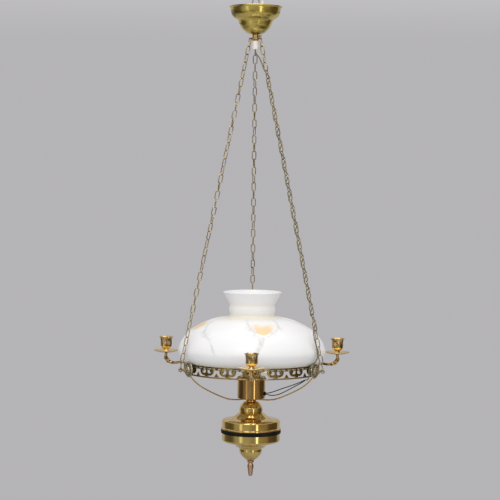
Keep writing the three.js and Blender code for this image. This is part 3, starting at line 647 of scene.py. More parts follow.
class FineGrain(SoiledGroup):
    """The grain, dust and colour drift of moulded, glazed and rubber surfaces and of clear glass."""

    title = "fine grain"
    # how much finer the grain is than the drift
    grain_fineness = 18.0

    def build(self, wires: Wires, given: Any) -> dict[str, Socket]:
        """Fills the group: a wide noise drifts the colour and a fine one roughens the surface.

        Args:
            wires: The group's tree.
            given: The group's inputs.

        Returns:
            Its outputs by name.
        """
        place, scale = given["Vector"], given["Scale"]
        drift = wires.step(wires.noise(place, scale, 4.0), 0.4, 0.75)
        colour = wires.blend(wires.times(drift, given["Amount"]), given["Colour"], given["Soil And Shade"])
        grain = wires.noise(place, wires.times(scale, self.grain_fineness), 3.0)
        rough = wires.fused(grain, given["Spread"], given["Roughness"])
        return {"Colour": colour, "Roughness": rough, "Height": grain}


class Marbling(NodeGroup):
    """Opal glass with peach patches and grey veins, whose places the shade's mesh carries as attributes."""

    title = "marbling"
    inputs = (
        ("Vector", "Vector", None),
        ("Patch", "Float", 0.0),
        ("Left Vein", "Float", 100.0),
        ("Right Vein", "Float", 100.0),
        ("Fade", "Float", 0.0),
        ("Smudge", "Float", 0.0),
        ("Glass", "Color", (0.9, 0.9, 0.9, 1.0)),
        ("Peach", "Color", (0.9, 0.55, 0.25, 1.0)),
        ("Vein", "Color", (0.4, 0.42, 0.42, 1.0)),
        ("Cream", "Color", (0.9, 0.85, 0.65, 1.0)),
    )
    outputs = (("Colour", "Color"), ("Roughness", "Float"))
    # heights in metres between which the cream tint rises and falls: at the neck, above it, at the foot
    neck = ((-0.675, -0.668), (-0.655, -0.664))
    crease = ((-0.652, -0.646), (-0.634, -0.643))
    foot = (-0.742, -0.768)
    # the inputs with the veins' distances, and how far a vein's core and its halo reach, in millimetres
    veins = (("Left Vein", 1.7, 7.5), ("Right Vein", 1.4, 6.5))

    def build(self, wires: Wires, given: Any) -> dict[str, Socket]:
        """Fills the group: noise frays the patches and the veins, and height places the cream tints.

        Args:
            wires: The group's tree.
            given: The group's inputs.

        Returns:
            Its outputs by name.
        """
        place = given["Vector"]
        wide = wires.maths("SUBTRACT", wires.noise(place, 28.0, 5.0), 0.5)
        fine = wires.maths("SUBTRACT", wires.noise(place, 130.0, 6.0), 0.5)
        colour = wires.blend(self.cream(wires, place, wide), given["Glass"], given["Cream"])
        frayed = wires.fused(fine, 0.4, wires.fused(wide, 0.7, given["Patch"]))
        patch = wires.times(wires.step(frayed, 0.08, 0.92), wires.step(given["Patch"], 0.02, 0.35))
        colour = wires.blend(patch, colour, given["Peach"])
        strength = []
        for name, core, halo in self.veins:
            wander = wires.fused(fine, 4.0, wires.fused(wide, 5.0, given[name]))
            wander = wires.maths("ABSOLUTE", wander)
            dark = wires.times(wires.step(wander, core, 0.0), 0.7)
            strength.append(wires.larger(dark, wires.times(wires.step(wander, halo, 0.0), 0.36)))
        vein = wires.times(wires.larger(*strength), given["Fade"])
        broken = wires.step(wires.noise(place, 75.0, 3.0), 0.3, 0.62)
        vein = wires.times(vein, wires.fused(broken, 0.6, 0.26))
        mottle = wires.step(wires.noise(place, 95.0, 5.0), 0.36, 0.62)
        smudge = wires.times(wires.times(given["Smudge"], mottle), 0.42)
        colour = wires.blend(wires.larger(vein, smudge), colour, given["Vein"])
        return {"Colour": colour, "Roughness": wires.fused(fine, 0.06, 0.34)}

    def cream(self, wires: Wires, place: Socket, wide: Socket) -> Socket:
        """Works out how creamy the glass is: more at the neck and the foot, and a little in wide clouds.

        Args:
            wires: The group's tree.
            place: The place on the lamp.
            wide: The wide noise.

        Returns:
            The share of cream.
        """
        height = wires.split(place)["Z"]
        neck = wires.band(height, *self.neck)
        neck = wires.larger(neck, wires.times(wires.band(height, *self.crease), 0.45))
        foot = wires.step(height, *self.foot)
        tint = wires.larger(wires.times(neck, 0.55), wires.times(foot, 0.4))
        return wires.maths("ADD", tint, wires.times(wires.step(wide, 0.02, 0.3), 0.12))


class Groups:
    """The node groups that the finishes share."""

    def __init__(self) -> None:
        """Builds each group once."""
        self.wear, self.spun, self.grain, self.marbling = MetalWearAndShade(), SpunLines(), FineGrain(), Marbling()


def rgba(colour: Colour) -> tuple[float, float, float, float]:
    """Adds a full alpha to a colour."""
    return (*colour, 1.0)


class Finish(ABC):
    """One finish, which knows how to make its material."""

    name: str
    slot: Slot

    def material(self, groups: Groups) -> bpy.types.Material:
        """Makes the material.

        Args:
            groups: The shared node groups.

        Returns:
            The material.
        """
        made = bpy.data.materials.new(self.name)
        made.use_nodes = True
        made.node_tree.nodes.clear()
        wires = Wires(made.node_tree)
        place = wires.node("ShaderNodeTexCoord").outputs["Object"]
        shader = wires.node("ShaderNodeBsdfPrincipled")
        wires.fill(shader, self.sockets(wires, place, groups))
        wires.node("ShaderNodeOutputMaterial", {"Surface": shader.outputs[0]})
        return made

    @abstractmethod
    def sockets(self, wires: Wires, place: Socket, groups: Groups) -> dict[str, Any]:
        """Gives what the shader's inputs are set or linked to."""

    @staticmethod
    def skin(group: Any) -> dict[str, Any]:
        """Gives a placed group's colour and gloss to the shader."""
        return {"Base Color": group["Colour"], "Roughness": group["Roughness"]}


@dataclass(frozen=True)
class Soiled(Finish):
    """A finish of one colour that is soiled in clouds by another, with uneven gloss and a fine relief; on the
    canopy the clouds are partly painted reflection, on the pierced band partly painted shade.
    """

    name: str
    slot: Slot
    colour: Colour
    soil_and_shade: Colour
    amount: float = 0.25
    scale: float = 60.0
    roughness: float = 0.4
    spread: float = 0.12
    relief: float = 0.00003

    def placed(self, group: SoiledGroup, wires: Wires, place: Socket) -> Any:
        """Puts a soiled group into the material.

        Args:
            group: The group.
            wires: The material's tree.
            place: The place that it reads.

        Returns:
            Its outputs.
        """
        colours = {"Colour": rgba(self.colour), "Soil And Shade": rgba(self.soil_and_shade)}
        values = {"Scale": self.scale, "Roughness": self.roughness, "Spread": self.spread}
        return group.place(wires, {"Vector": place, "Amount": self.amount, **colours, **values})

    def bump(self, wires: Wires, height: Socket) -> dict[str, Any]:
        """Turns a height into the shader's normal."""
        bump = wires.node("ShaderNodeBump", {"Height": height, "Strength": 1.0, "Distance": self.relief})
        return {"Normal": bump.outputs[0]}


@dataclass(frozen=True)
class Metal(Soiled):
    """Polished, cast or wire metal; a streak above one draws the worn clouds, and on the canopy its painted
    reflections, out round the lamp's axis.
    """

    rings: float = 0.0
    streak: float = 1.0
    ring_depth: float = 0.45

    def sockets(self, wires: Wires, place: Socket, groups: Groups) -> dict[str, Any]:
        """Links the worn clouds, partly painted reflection on the canopy and partly painted shade on the
        pierced band, to colour and gloss, and dents with spun lines to the bump.

        Args:
            wires: The material's tree.
            place: The place on the lamp.
            groups: The shared groups.

        Returns:
            The shader's inputs by name.
        """
        drawn = wires.node("ShaderNodeMapping", {"Vector": place, "Scale": (1.0, 1.0, self.streak)})
        wear = self.placed(groups.wear, wires, drawn.outputs[0])
        height = wear["Height"]
        if self.rings:
            spun = groups.spun.place(wires, {"Vector": place, "Rings": self.rings, "Depth": self.ring_depth})
            height = wires.maths("ADD", height, spun["Height"])
        return {**self.bump(wires, height), "Metallic": 1.0, **self.skin(wear)}


@dataclass(frozen=True)
class Moulded(Soiled):
    """Plastic, porcelain, rubber and the sheath of the flex."""

    coat: float = 0.0
    specular: float = 0.5

    def sockets(self, wires: Wires, place: Socket, groups: Groups) -> dict[str, Any]:
        """Links the grain to colour, gloss and bump.

        Args:
            wires: The material's tree.
            place: The place on the lamp.
            groups: The shared groups.

        Returns:
            The shader's inputs by name.
        """
        grain = self.placed(groups.grain, wires, place)
        values = {"Coat Weight": self.coat, "Specular IOR Level": self.specular}
        return {**self.bump(wires, grain["Height"]), **values, **self.skin(grain)}


@dataclass(frozen=True)
class ClearGlass(Soiled):
    """Thin clear glass with a little dust."""

    ior: float = 1.45

    def sockets(self, wires: Wires, place: Socket, groups: Groups) -> dict[str, Any]:
        """Links the dust to colour and gloss."""
        dust = self.placed(groups.grain, wires, place)
        return {"Transmission Weight": 1.0, "IOR": self.ior, **self.skin(dust)}


@dataclass(frozen=True)
class OpalGlass(Finish):
    """White opal glass with a marbled decoration."""

    name: str = "opal glass"
    slot: Slot = Slot.OPAL
    glass: Colour = (0.84, 0.84, 0.85)
    peach: Colour = (0.84, 0.60, 0.33)
    vein: Colour = (0.36, 0.37, 0.36)
    cream: Colour = (0.86, 0.80, 0.62)
    ior: float = 1.5
    coat: float = 0.12
    coat_roughness: float = 0.24

    def sockets(self, wires: Wires, place: Socket, groups: Groups) -> dict[str, Any]:
        """Links the marbling to colour and gloss; the mesh's attributes say where it lies.

        Args:
            wires: The material's tree.
            place: The place on the lamp.
            groups: The shared groups.

        Returns:
            The shader's inputs by name.
        """
        colours = {"Glass": self.glass, "Peach": self.peach, "Vein": self.vein, "Cream": self.cream}
        values: dict[str, Any] = {title: rgba(colour) for title, colour in colours.items()}
        values["Vector"] = place
        for title, name in GLASS_FIELDS.items():
            values[title] = wires.node("ShaderNodeAttribute", attribute_name=name).outputs["Fac"]
        marbling = groups.marbling.place(wires, values)
        coat = {"IOR": self.ior, "Coat Weight": self.coat, "Coat Roughness": self.coat_roughness}
        return {**coat, **self.skin(marbling)}


class Paint(Enum):
    """The finishes of the lamp: name, slot, colour and the colour of the soiling clouds (painted reflection
    on the canopy and painted shade on the pierced band as well), then the numbers in the order of their
    class.
    """

    # partly tarnish, partly painted reflection: the dark clouds, streaked round the axis, stand for the dark
    # reflections on the spun canopy
    CANOPY_BRASS_PAINTED_REFLECTION = Metal(
        "canopy brass with painted reflections", Slot.BRASS, (0.80, 0.63, 0.17), (0.18, 0.135, 0.03),
        1.0, 30.0, 0.2, 0.16, 0.00016, 700.0, 3.0,
    )
    SPUN_BRASS = Metal(
        "spun brass", Slot.BRASS, (0.80, 0.61, 0.21), (0.46, 0.33, 0.11),
        0.6, 24.0, 0.13, 0.10, 0.00006, 700.0, 1.8,
    )
    BRIGHT_BRASS = Metal(
        "bright brass", Slot.BRASS, (0.82, 0.58, 0.19), (0.50, 0.29, 0.09),
        0.5, 30.0, 0.07, 0.07, 0.00004,
    )
    WALL_BRASS = Metal(
        "drum brass", Slot.BRASS, (0.66, 0.43, 0.15), (0.28, 0.14, 0.05),
        0.8, 26.0, 0.09, 0.08, 0.00005, 700.0, 0.35,
    )
    LEAF_BRASS = Metal(
        "leaf brass", Slot.BRASS, (0.78, 0.56, 0.24), (0.13, 0.07, 0.025),
        1.0, 85.0, 0.15, 0.16, 0.00016,
    )
    DISH_BRASS = Metal(
        "dish brass", Slot.BRASS, (0.80, 0.60, 0.27), (0.42, 0.25, 0.10),
        0.6, 70.0, 0.26, 0.12, 0.00006,
    )
    RAIL_BRASS = Metal(
        "rail brass", Slot.BRASS, (0.56, 0.38, 0.13), (0.15, 0.08, 0.025),
        0.9, 70.0, 0.2, 0.14, 0.00006,
    )
    # partly tarnish, partly painted shade: the pierced band and its upper rail are painted darker than the
    # foot rail, for the shade under the glass
    SHADED_CAST_BRASS = Metal(
        "shaded cast brass", Slot.BRASS, (0.40, 0.30, 0.11), (0.06, 0.036, 0.012),
        1.0, 90.0, 0.24, 0.16, 0.00015,
    )
    CHAIN_BRASS = Metal(
        "chain wire", Slot.PALE_BRASS, (0.60, 0.48, 0.27), (0.17, 0.12, 0.05),
        1.0, 80.0, 0.28, 0.15, 0.00005,
    )
    ROSETTE_BRASS = Metal(
        "rosette brass", Slot.PALE_BRASS, (0.60, 0.55, 0.40), (0.26, 0.22, 0.12),
        0.8, 90.0, 0.27, 0.15, 0.00008,
    )
    BRONZE = Metal(
        "bronze", Slot.BRONZE, (0.66, 0.43, 0.27), (0.34, 0.19, 0.10),
        0.5, 70.0, 0.24, 0.12, 0.00006,
    )
    STEEL = Metal(
        "zinc steel", Slot.STEEL, (0.60, 0.61, 0.62), (0.36, 0.35, 0.33),
        0.45, 60.0, 0.28, 0.14, 0.00005,
    )
    WHITE_PLASTIC = Moulded("white plastic", Slot.WHITE_PLASTIC, (0.84, 0.81, 0.72), (0.52, 0.47, 0.36), 0.35)
    PORCELAIN = Moulded(
        "porcelain", Slot.PORCELAIN, (0.86, 0.84, 0.79), (0.6, 0.56, 0.48),
        0.25, 50.0, 0.2, 0.08, 0.00002, 0.5,
    )
    RUBBER = Moulded(
        "black rubber", Slot.RUBBER, (0.004, 0.004, 0.004), (0.026, 0.024, 0.022),
        0.3, 45.0, 0.5, 0.2, specular=0.2,
    )
    FLEX = Moulded("olive flex", Slot.FLEX, (0.15, 0.14, 0.075), (0.26, 0.24, 0.15), 0.4, 90.0, 0.34, 0.16)
    CORE = Moulded("dark core", Slot.FLEX, (0.030, 0.032, 0.028), (0.09, 0.09, 0.08), 0.3, 90.0, 0.38, 0.16)
    OPAL = OpalGlass()
    CLEAR = ClearGlass(
        "clear glass", Slot.CLEAR, (0.97, 0.98, 0.97), (0.85, 0.84, 0.8),
        0.2, 40.0, 0.02, 0.04,
    )


class Paintbox:
    """Makes each finish's material once."""

    def __init__(self) -> None:
        """Builds the shared groups."""
        self.groups = Groups()
        self.made: dict[str, bpy.types.Material] = {}

    def material(self, paint: Paint) -> bpy.types.Material:
        """Gives the material of a finish, made at its first use.

        Args:
            paint: The finish.

        Returns:
            The material.
        """
        if paint.name not in self.made:
            self.made[paint.name] = paint.value.material(self.groups)
        return self.made[paint.name]


# The lamp's sub-assemblies


@dataclass
class SubAssembly(ABC):
    """A group of pieces that is built, dressed and reported together."""

    paints: Paintbox

    @abstractmethod
    def build(self) -> None:
        """Makes the group's pieces."""

    def add(
        self, name: str, shape: Shape, paint: Paint, replaced: str, body: Body = Body.LAMP
    ) -> bpy.types.Object:
        """Makes a piece from a shape, dresses it and lets it ride on its body.

        Args:
            name: The piece's name.
            shape: Its surface.
            paint: Its finish.
            replaced: The CAD node that it stands for.
            body: The body that it moves with.

        Returns:
            The piece.
        """
        mesh = bpy.data.meshes.new(name)
        mesh.from_pydata((shape.corners * MILLIMETRE).tolist(), [], shape.faces.tolist())
        work = bmesh.new()
        work.from_mesh(mesh)
        bmesh.ops.remove_doubles(work, verts=work.verts, dist=WELD)
        work.to_mesh(mesh)
        work.free()
        mesh.shade_smooth()
        mesh.materials.append(self.paints.material(paint))
        made = bpy.data.objects.new(name, mesh)
        bpy.context.scene.collection.objects.link(made)
        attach(made, body.value)
        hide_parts(replaced)
        LOG.info("%s: %d faces, %s, on %s", name, len(mesh.polygons), paint.value.name, body.value)
        return made

    def add_round(self, stations: Sequence[float], *pieces: tuple[str, Shape, Paint, str]) -> None:
        """Adds pieces of the lamp at each of its stations, numbered from 1.

        Args:
            stations: The angles of the stations.
            pieces: Each piece's name, surface at angle 0, finish and CAD node.
        """
        for number, angle in enumerate(stations, 1):
            for name, shape, paint, replaced in pieces:
                self.add(f"{name}_{number}", shape.turned(angle), paint, f"{replaced}_{number}")

    def dress(self, frame: dict[str, Any], nodes: Sequence[str], paint: Paint) -> None:
        """Gives carried-over CAD nodes a finish.

        Args:
            frame: The loaded frame.
            nodes: The nodes' names.
            paint: Their finish.
        """
        for name in nodes:
            materials = frame["nodes"][name].data.materials
            materials.clear()
            materials.append(self.paints.material(paint))
            LOG.info("%s: packed solid, %s", name, paint.value.name)


@dataclass
class CeilingEnd(SubAssembly):
    """The bail, the stem with what is screwed to it, and the canopy."""

    frame: dict[str, Any]
    bail_wire: float = 3.0
    bail_spread: float = 9.2
    bail_height: float = 33.5
    toe_reach: float = 5.6
    pivot: float = -32.0
    stem_radius: float = 5.0
    stem_bore: float = 3.4
    stem_low: float = -98.0
    stem_high: float = -39.0
    play: float = 0.3
    canopy_radius: float = 55.0
    canopy_height: float = 58.8
    canopy_rim: float = -21.4
    canopy_wall: float = 1.2
    collar_radius: float = 6.6
    collar_low: float = -86.5
    collar_high: float = -80.5
    grip_radius: float = 6.3
    grip_low: float = -111.0
    grip_high: float = -92.7
    crown_hub: float = 10.3
    crown_low: float = -90.6
    crown_high: float = -86.8

    def bail(self) -> Shape:
        """Bends the bail: a hairpin of round wire in the XZ plane, with its toes turned inwards.

        Returns:
            The wire, swept along a smooth line through shares of its spread and height.
        """
        shares = [[0, 1], [0.42, 0.87], [0.76, 0.52], [0.95, 0.2], [1, 0.07]]
        bend = placed(shares, z=self.pivot, scale=(self.bail_spread, self.bail_height))
        toe = [[self.bail_spread * 0.86, self.pivot], [self.bail_spread - self.toe_reach, self.pivot]]
        right = np.concatenate([bend, toe])
        line = np.concatenate([right[:0:-1] * (-1.0, 1.0), right])
        return sweep(smooth_line(upright(line), 5), circle(14), self.bail_wire / 2, side=ACROSS)

    def canopy(self) -> Shape:
        """Spins the canopy: a rolled rim, a bowl, two rounded steps and a flat floor with the stem's hole.

        Returns:
            The wall, turned about the axis.
        """
        shares = [
            [0.985, 0.0], [1.0, 0.008], [1.0, 0.026], [0.968, 0.05], [0.952, 0.08], [0.945, 0.14],
            [0.93, 0.21], [0.907, 0.28], [0.868, 0.345], [0.808, 0.4], [0.735, 0.445], [0.682, 0.48],
            [0.65, 0.52], [0.625, 0.575], [0.6, 0.64], [0.567, 0.71], [0.51, 0.79], [0.44, 0.86],
            [0.36, 0.918], [0.275, 0.96], [0.19, 0.988],
        ]
        bowl = placed(shares, z=self.canopy_rim, scale=(self.canopy_radius, -self.canopy_height))
        hole = [[self.stem_radius + 2 * self.play, self.canopy_rim - self.canopy_height]]
        outline = smooth_line(np.concatenate([bowl, hole]), 4)
        return turned_ring(walled(outline, self.canopy_wall), 0.3, 144)

    def crown(self) -> Shape:
        """Makes the chain plate: a dished hub with three flat arms, each with an upturned nub.

        Returns:
            The hub and its arms.
        """
        low, high, hub = self.crown_low, self.crown_high, self.crown_hub
        bore = self.stem_radius + self.play
        section = [[bore, low], [hub, low], [hub, high - 0.6], [hub - 1.2, high], [bore, high]]
        plate = turned_ring(section, 0.4)
        line = placed([[5.6, 0.95], [10, 0.95], [13.4, 0.95], [14.4, 1.5], [14.4, 3.1]], z=low)
        arm = sweep(smooth_line(upright(line)), cushion_section(16), (1.4, 0.85), side=ACROSS)
        return Shape.gathered([plate, *[arm.turned(angle) for angle in CHAIN_STATIONS]])

    def grip(self) -> Shape:
        """Moulds the cord grip: a tapered sleeve with shallow ribs, r = r0 + 0.12 cos 12a below its cap.

        Returns:
            The sleeve.
        """
        r, low, high = self.grip_radius, self.grip_low, self.grip_high
        tall = high - low
        outer = [[5.3, high], [r * 0.9, high], [r, high - tall * 0.1], [r * 0.97, high - tall * 0.3],
                 [r * 0.93, high - tall * 0.6], [r * 0.97, low + 1.4], [r, low + 0.6], [r * 0.94, low]]
        inner = [[1.6, low], [1.6, high - 5.6], [5.3, high - 5.6]]

        def ribs(radius: Array, height: Array, angle: Array) -> tuple[Array, Array]:
            """Lifts the sleeve's outside in twelve ribs below the cap."""
            share = ease(height, high - tall * 0.12, high - tall * 0.2) * (radius > r * 0.85)
            return radius + 0.12 * share * np.cos(12 * angle), height

        return revolve(fillet(outer + inner, 0.35, True), 96, relief=ribs)

    def collar(self, middle: float) -> Shape:
        """Turns the collar under the canopy, with the tapped bore's lining along +X.

        Args:
            middle: The height of the bore's axis.

        Returns:
            The collar and the lining.
        """
        r = self.collar_radius
        ring = turned_ring(slab(self.stem_radius + self.play, r, self.collar_low, self.collar_high), 0.5, 64)
        boss = turned_ring(slab(1.65, 1.72, 5.8, r + 1.8), 0.02, 24)
        return Shape.gathered([ring, boss.along_x().moved(z=middle)])

    def lock_screw(self, middle: float) -> Shape:
        """Turns the lock screw along +X, its head milled: r = r0 + 0.1 cos 20a.

        Args:
            middle: The height of its axis.

        Returns:
            The screw.
        """
        start, head, end = self.stem_radius + self.play, self.collar_radius + 2.1, self.collar_radius + 6.1
        points = [[0, start], [1.5, start], [1.5, head], [2.1, head], [2.1, end], [0, end]]

        def milled(radius: Array, height: Array, angle: Array) -> tuple[Array, Array]:
            """Cuts twenty grooves along the head."""
            return radius + 0.1 * (radius > 1.9) * np.cos(20 * angle), height

        screw = revolve(fillet(points, 0.3, False), 80, ring=False, relief=milled)
        return screw.along_x().moved(z=middle)

    def build(self) -> None:
        """Makes the ceiling end."""
        middle = (self.collar_low + self.collar_high) / 2
        screw = self.lock_screw(middle)
        pipe = turned_ring(slab(self.stem_bore, self.stem_radius, self.stem_low, self.stem_high), 0.3, 48)
        self.add("bail_wire", self.bail(), Paint.STEEL, "hanging_bail", Body.HANGER)
        self.add("stem_pipe", pipe, Paint.BRIGHT_BRASS, "stem_tube", Body.STEM)
        # the canopy's finish carries painted reflections as well as tarnish
        self.add("canopy_bowl", self.canopy(), Paint.CANOPY_BRASS_PAINTED_REFLECTION, "canopy", Body.CANOPY)
        self.add("collar_ring", self.collar(middle), Paint.BRIGHT_BRASS, "canopy_collar", Body.STEM)
        self.add("lock_screw_milled", screw, Paint.STEEL, "canopy_lock_screw", Body.LOCK_SCREW)
        self.add("crown_plate", self.crown(), Paint.BRONZE, "chain_crown")
        self.add("grip_sleeve", self.grip(), Paint.WHITE_PLASTIC, "cord_grip", Body.STEM)
        self.dress(self.frame, ["stem_fork", "stem_locknut"], Paint.BRIGHT_BRASS)
        self.dress(self.frame, ["terminal_block"], Paint.WHITE_PLASTIC)


@dataclass
class Chains(SubAssembly):
    """The three chains, hung link by link from the crown to the S-hooks."""

    wire: float = 2.0
    width: float = 9.75
    links: int = 40
    # how far the wires of two links press into each other
    bite: float = 0.25
    # how far the links of each chain are turned about it, in degrees; the flex passes through the third
    twists: tuple[float, float, float] = (30.0, 24.0, 4.0)
    start: tuple[float, float, float] = (11.9, 0.0, -88.4)
    hook_reach: float = 13.35

    def run(self) -> tuple[Array, Array, float]:
        """Works out the chain's line.

        Returns:
            Its start, its direction and its pitch, the way from one link to the next.
        """
        start, foot = np.array(self.start), np.array(HOOK_FOOT)
        along = unit(foot - start)
        end = foot - along * self.hook_reach
        return start, along, float((np.linalg.norm(end - start) + self.bite) / self.links)

    def link(self, pitch: float) -> Shape:
        """Bends one link: two half circles joined by straight wires, its long side along Y.

        The half circles are x = R cos a, y = R sin a, moved apart by the length of the straights.

        Args:
            pitch: The way from one link to the next.

        Returns:
            The link.
        """
        bend = (self.width - self.wire) / 2
        straight = (pitch - self.bite) / 2 - (bend - self.wire / 2)
        angle = np.concatenate([np.linspace(0, np.pi, 8), np.linspace(np.pi, 2 * np.pi, 8)])
        lift = np.repeat([straight, -straight], 8)
        path = np.stack([bend * np.cos(angle), bend * np.sin(angle) + lift, 0 * angle], axis=1)
        return sweep(path, circle(6), self.wire / 2, side=(0, 0, 1), loop=True)

    def chain(self, phase: float, twist: float) -> Shape:
        """Hangs the links: each is turned a quarter from the last, and link i by twist * sin(0.55 i + phase).

        The twist fades out over the four links at each end.

        Args:
            phase: Where the twist starts, in radians.
            twist: How far it turns a link, in degrees.

        Returns:
            The chain, in the X and Z plane of its station.
        """
        start, along, pitch = self.run()
        across = np.array([-along[2], 0.0, along[0]])
        base = self.link(pitch)
        shapes = []
        for i in range(self.links):
            settled = min(i, self.links - 1 - i, 4) / 4
            angle = (i % 2) * math.pi / 2 + math.radians(twist) * settled * math.sin(0.55 * i + phase)
            side = math.cos(angle) * np.array(ACROSS) + math.sin(angle) * across
            turn = np.stack([side, along, np.cross(side, along)])
            centre = start + along * ((pitch - self.bite) / 2 + i * pitch)
            shapes.append(Shape(base.corners @ turn + centre, base.faces))
        return Shape.gathered(shapes)

    def build(self) -> None:
        """Makes the three chains."""
        for i, (angle, twist) in enumerate(zip(CHAIN_STATIONS, self.twists), 1):
            chain = self.chain(1.7 * i, twist).turned(angle)
            self.add(f"chain_links_{i}", chain, Paint.CHAIN_BRASS, f"chain_{i}")


@dataclass
class GlassShade(SubAssembly):
    """The opal glass, with the fields that place its marbled decoration."""

    foot: float = -768.0
    height: float = 151.0
    wall: float = 3.2
    belly: float = 154.8
    neck: float = 48.0
    lip_wall: float = 1.7
    tip_share: float = 0.455
    top_share: float = 0.62
    # the wedges of peach, in degrees from the front towards +X: the point, how far the top leans from
    # it, and half the width of the top
    patches: tuple[tuple[float, float, float], ...] = (
        (10.5, 2.0, 25.0), (-79.0, -3.0, 31.0), (98.0, -2.0, 25.0), (190.0, 4.0, 22.0),
    )
    # the grey veins on each side of the wedges: shares of the height from low to high, and bearings
    left_veins: tuple[Vein, ...] = (
        ((0.18, 0.26, 0.385, 0.44, 0.51, 0.565, 0.66), (-1.0, 3.2, 7.0, 7.0, 1.9, -2.4, -9.5)),
        (VEIN_SHARES, (-98.0, -95.0, -88.0, -92.0, -106.0, -112.0)),
        (VEIN_SHARES, (62.0, 66.0, 75.0, 83.0, 76.0, 70.0)),
        (VEIN_SHARES, (183.0, 185.0, 187.0, 186.0, 176.0, 170.0)),
    )
    right_veins: tuple[Vein, ...] = (
        ((0.18, 0.26, 0.385, 0.435, 0.49, 0.555, 0.63), (0.5, 4.6, 8.6, 11.0, 19.7, 31.0, 37.0)),
        ((0.18, 0.3, 0.395, 0.46, 0.52, 0.6), (-28.0, -32.7, -38.0, -49.0, -55.0, -68.0)),
        (VEIN_SHARES, (108.0, 104.0, 101.0, 104.0, 117.0, 124.0)),
        (VEIN_SHARES, (192.0, 191.0, 190.0, 195.0, 208.0, 214.0)),
    )
    # where the veins smudge: share of the height, bearing and size in millimetres
    smudges: tuple[tuple[float, float, float], ...] = (
        (0.55, -2.5, 10.0), (0.49, 3.0, 8.0), (0.44, 9.5, 5.0), (0.5, 21.0, 6.0), (0.56, 31.0, 6.0),
        (0.49, -51.0, 9.0), (0.44, -46.0, 8.0), (0.39, -38.0, 6.0), (0.5, 110.0, 8.0), (0.5, 180.0, 8.0),
        (0.5, 200.0, 8.0), (0.5, -99.0, 8.0),
    )

    def outline(self) -> Array:
        """Draws the outside of the glass from the lip of the flared neck down to the foot.

        Returns:
            Pairs of radius and height.
        """
        neck, belly = self.neck, self.belly
        pairs = [
            [61.3, 1.0], [57.9, 0.957], [54.5, 0.914], [51.1, 0.871], [48.4, 0.838], [47.5, 0.82],
            [47.8, 0.8], [48.4, 0.775], [48.4, 0.75], [neck - 0.2, 0.725], [neck - 1.3, 0.7],
            [neck - 1.7, 0.682], [neck - 0.6, 0.668], [neck + 5.0, 0.658], [0.41 * belly, 0.648],
            [0.51 * belly, 0.627], [0.6 * belly, 0.596], [0.72 * belly, 0.538], [0.83 * belly, 0.467],
            [0.896 * belly, 0.402], [0.944 * belly, 0.335], [0.979 * belly, 0.27], [belly, 0.2],
            [0.995 * belly, 0.15], [0.977 * belly, 0.1], [0.946 * belly, 0.06], [0.915 * belly, 0.034],
            [139.6, 0.016], [139.32, 0.0],
        ]
        return smooth_line(placed(pairs, z=self.foot, scale=(1.0, self.height)), 5)

    @staticmethod
    def bearing_gap(turn: Array, bearings: Array) -> Array:
        """Takes bearings from others and brings the result between -180 and 180 degrees."""
        return (turn - bearings + 180.0) % 360.0 - 180.0

    def nearest_vein(self, turn: Array, share: Array, veins: Sequence[Vein]) -> Array:
        """Works out how far each corner is from the nearest vein, round the glass.

        Args:
            turn: The corners' bearings in degrees.
            share: Their shares of the height.
            veins: The veins.

        Returns:
            The gaps in degrees, with their signs.
        """
        lines = [np.interp(share, shares, bearings) for shares, bearings in veins]
        gaps = self.bearing_gap(turn, np.stack(lines))
        return np.take_along_axis(gaps, np.abs(gaps).argmin(axis=0)[None], axis=0)[0]

    def fields(self, corners: Array) -> dict[str, Array]:
        """Works out the decoration's fields at each corner.

        A patch is a wedge with its point down: half its width grows with the 0.85th power of the rise
        above the point. A vein's field is the distance from it round the glass, and a smudge's is
        exp(-d^2 / size^2) of the distance d from its middle.

        Args:
            corners: The corners of the glass, in millimetres.

        Returns:
            The patch, the distances from the veins in millimetres, their strength, and the smudges.
        """
        x, y, z = corners.T
        turn = np.degrees(np.arctan2(x, -y))
        share = (z - self.foot) / self.height
        reach = np.radians(1.0) * np.hypot(x, y)
        rise = (share - self.tip_share) / (self.top_share - self.tip_share)
        points, leans, widths = (np.array(column)[:, None] for column in zip(*self.patches))
        gap = np.abs(self.bearing_gap(turn, points + leans * rise))
        half = widths * np.clip(rise, 0.0, 1.6) ** 0.85
        inside = ease(gap / np.maximum(half, 1e-3), 1.1, 0.3)
        patch = (inside * ease(rise, -0.06, 0.3) * ease(rise, 1.15, 0.4)).max(axis=0)
        heights, bearings, sizes = (np.array(column)[:, None] for column in zip(*self.smudges))
        across = self.bearing_gap(turn, bearings) * reach
        slope = 1.5 * (share - heights) * self.height
        smudge = np.exp(-(across**2 + slope**2) / sizes**2).max(axis=0)
        return {
            "patch": patch,
            "vein_left": self.nearest_vein(turn, share, self.left_veins) * reach,
            "vein_right": self.nearest_vein(turn, share, self.right_veins) * reach,
            "vein_fade": ease(share, 0.17, 0.27) * ease(share, 0.68, 0.6),
            "smudge": smudge,
        }

    def build(self) -> None:
        """Makes the glass and writes its fields into the mesh."""
        outline = self.outline()
        flare = ease(outline[:, 1], self.foot + 0.84 * self.height, self.foot + self.height)[:, None]
        wall = walled(outline, self.wall + (self.lip_wall - self.wall) * flare)
        shape = turned_ring(wall, 0.8, 300)
        shade = self.add("opal_shade", shape, Paint.OPAL, "glass_shade", Body.SHADE)
        places = np.empty(len(shade.data.vertices) * 3)
        shade.data.vertices.foreach_get("co", places)
        for name, values in self.fields(places.reshape(-1, 3) / MILLIMETRE).items():
            attribute = shade.data.attributes.new(name, "FLOAT", "POINT")
            attribute.data.foreach_set("value", values.astype(np.float32))


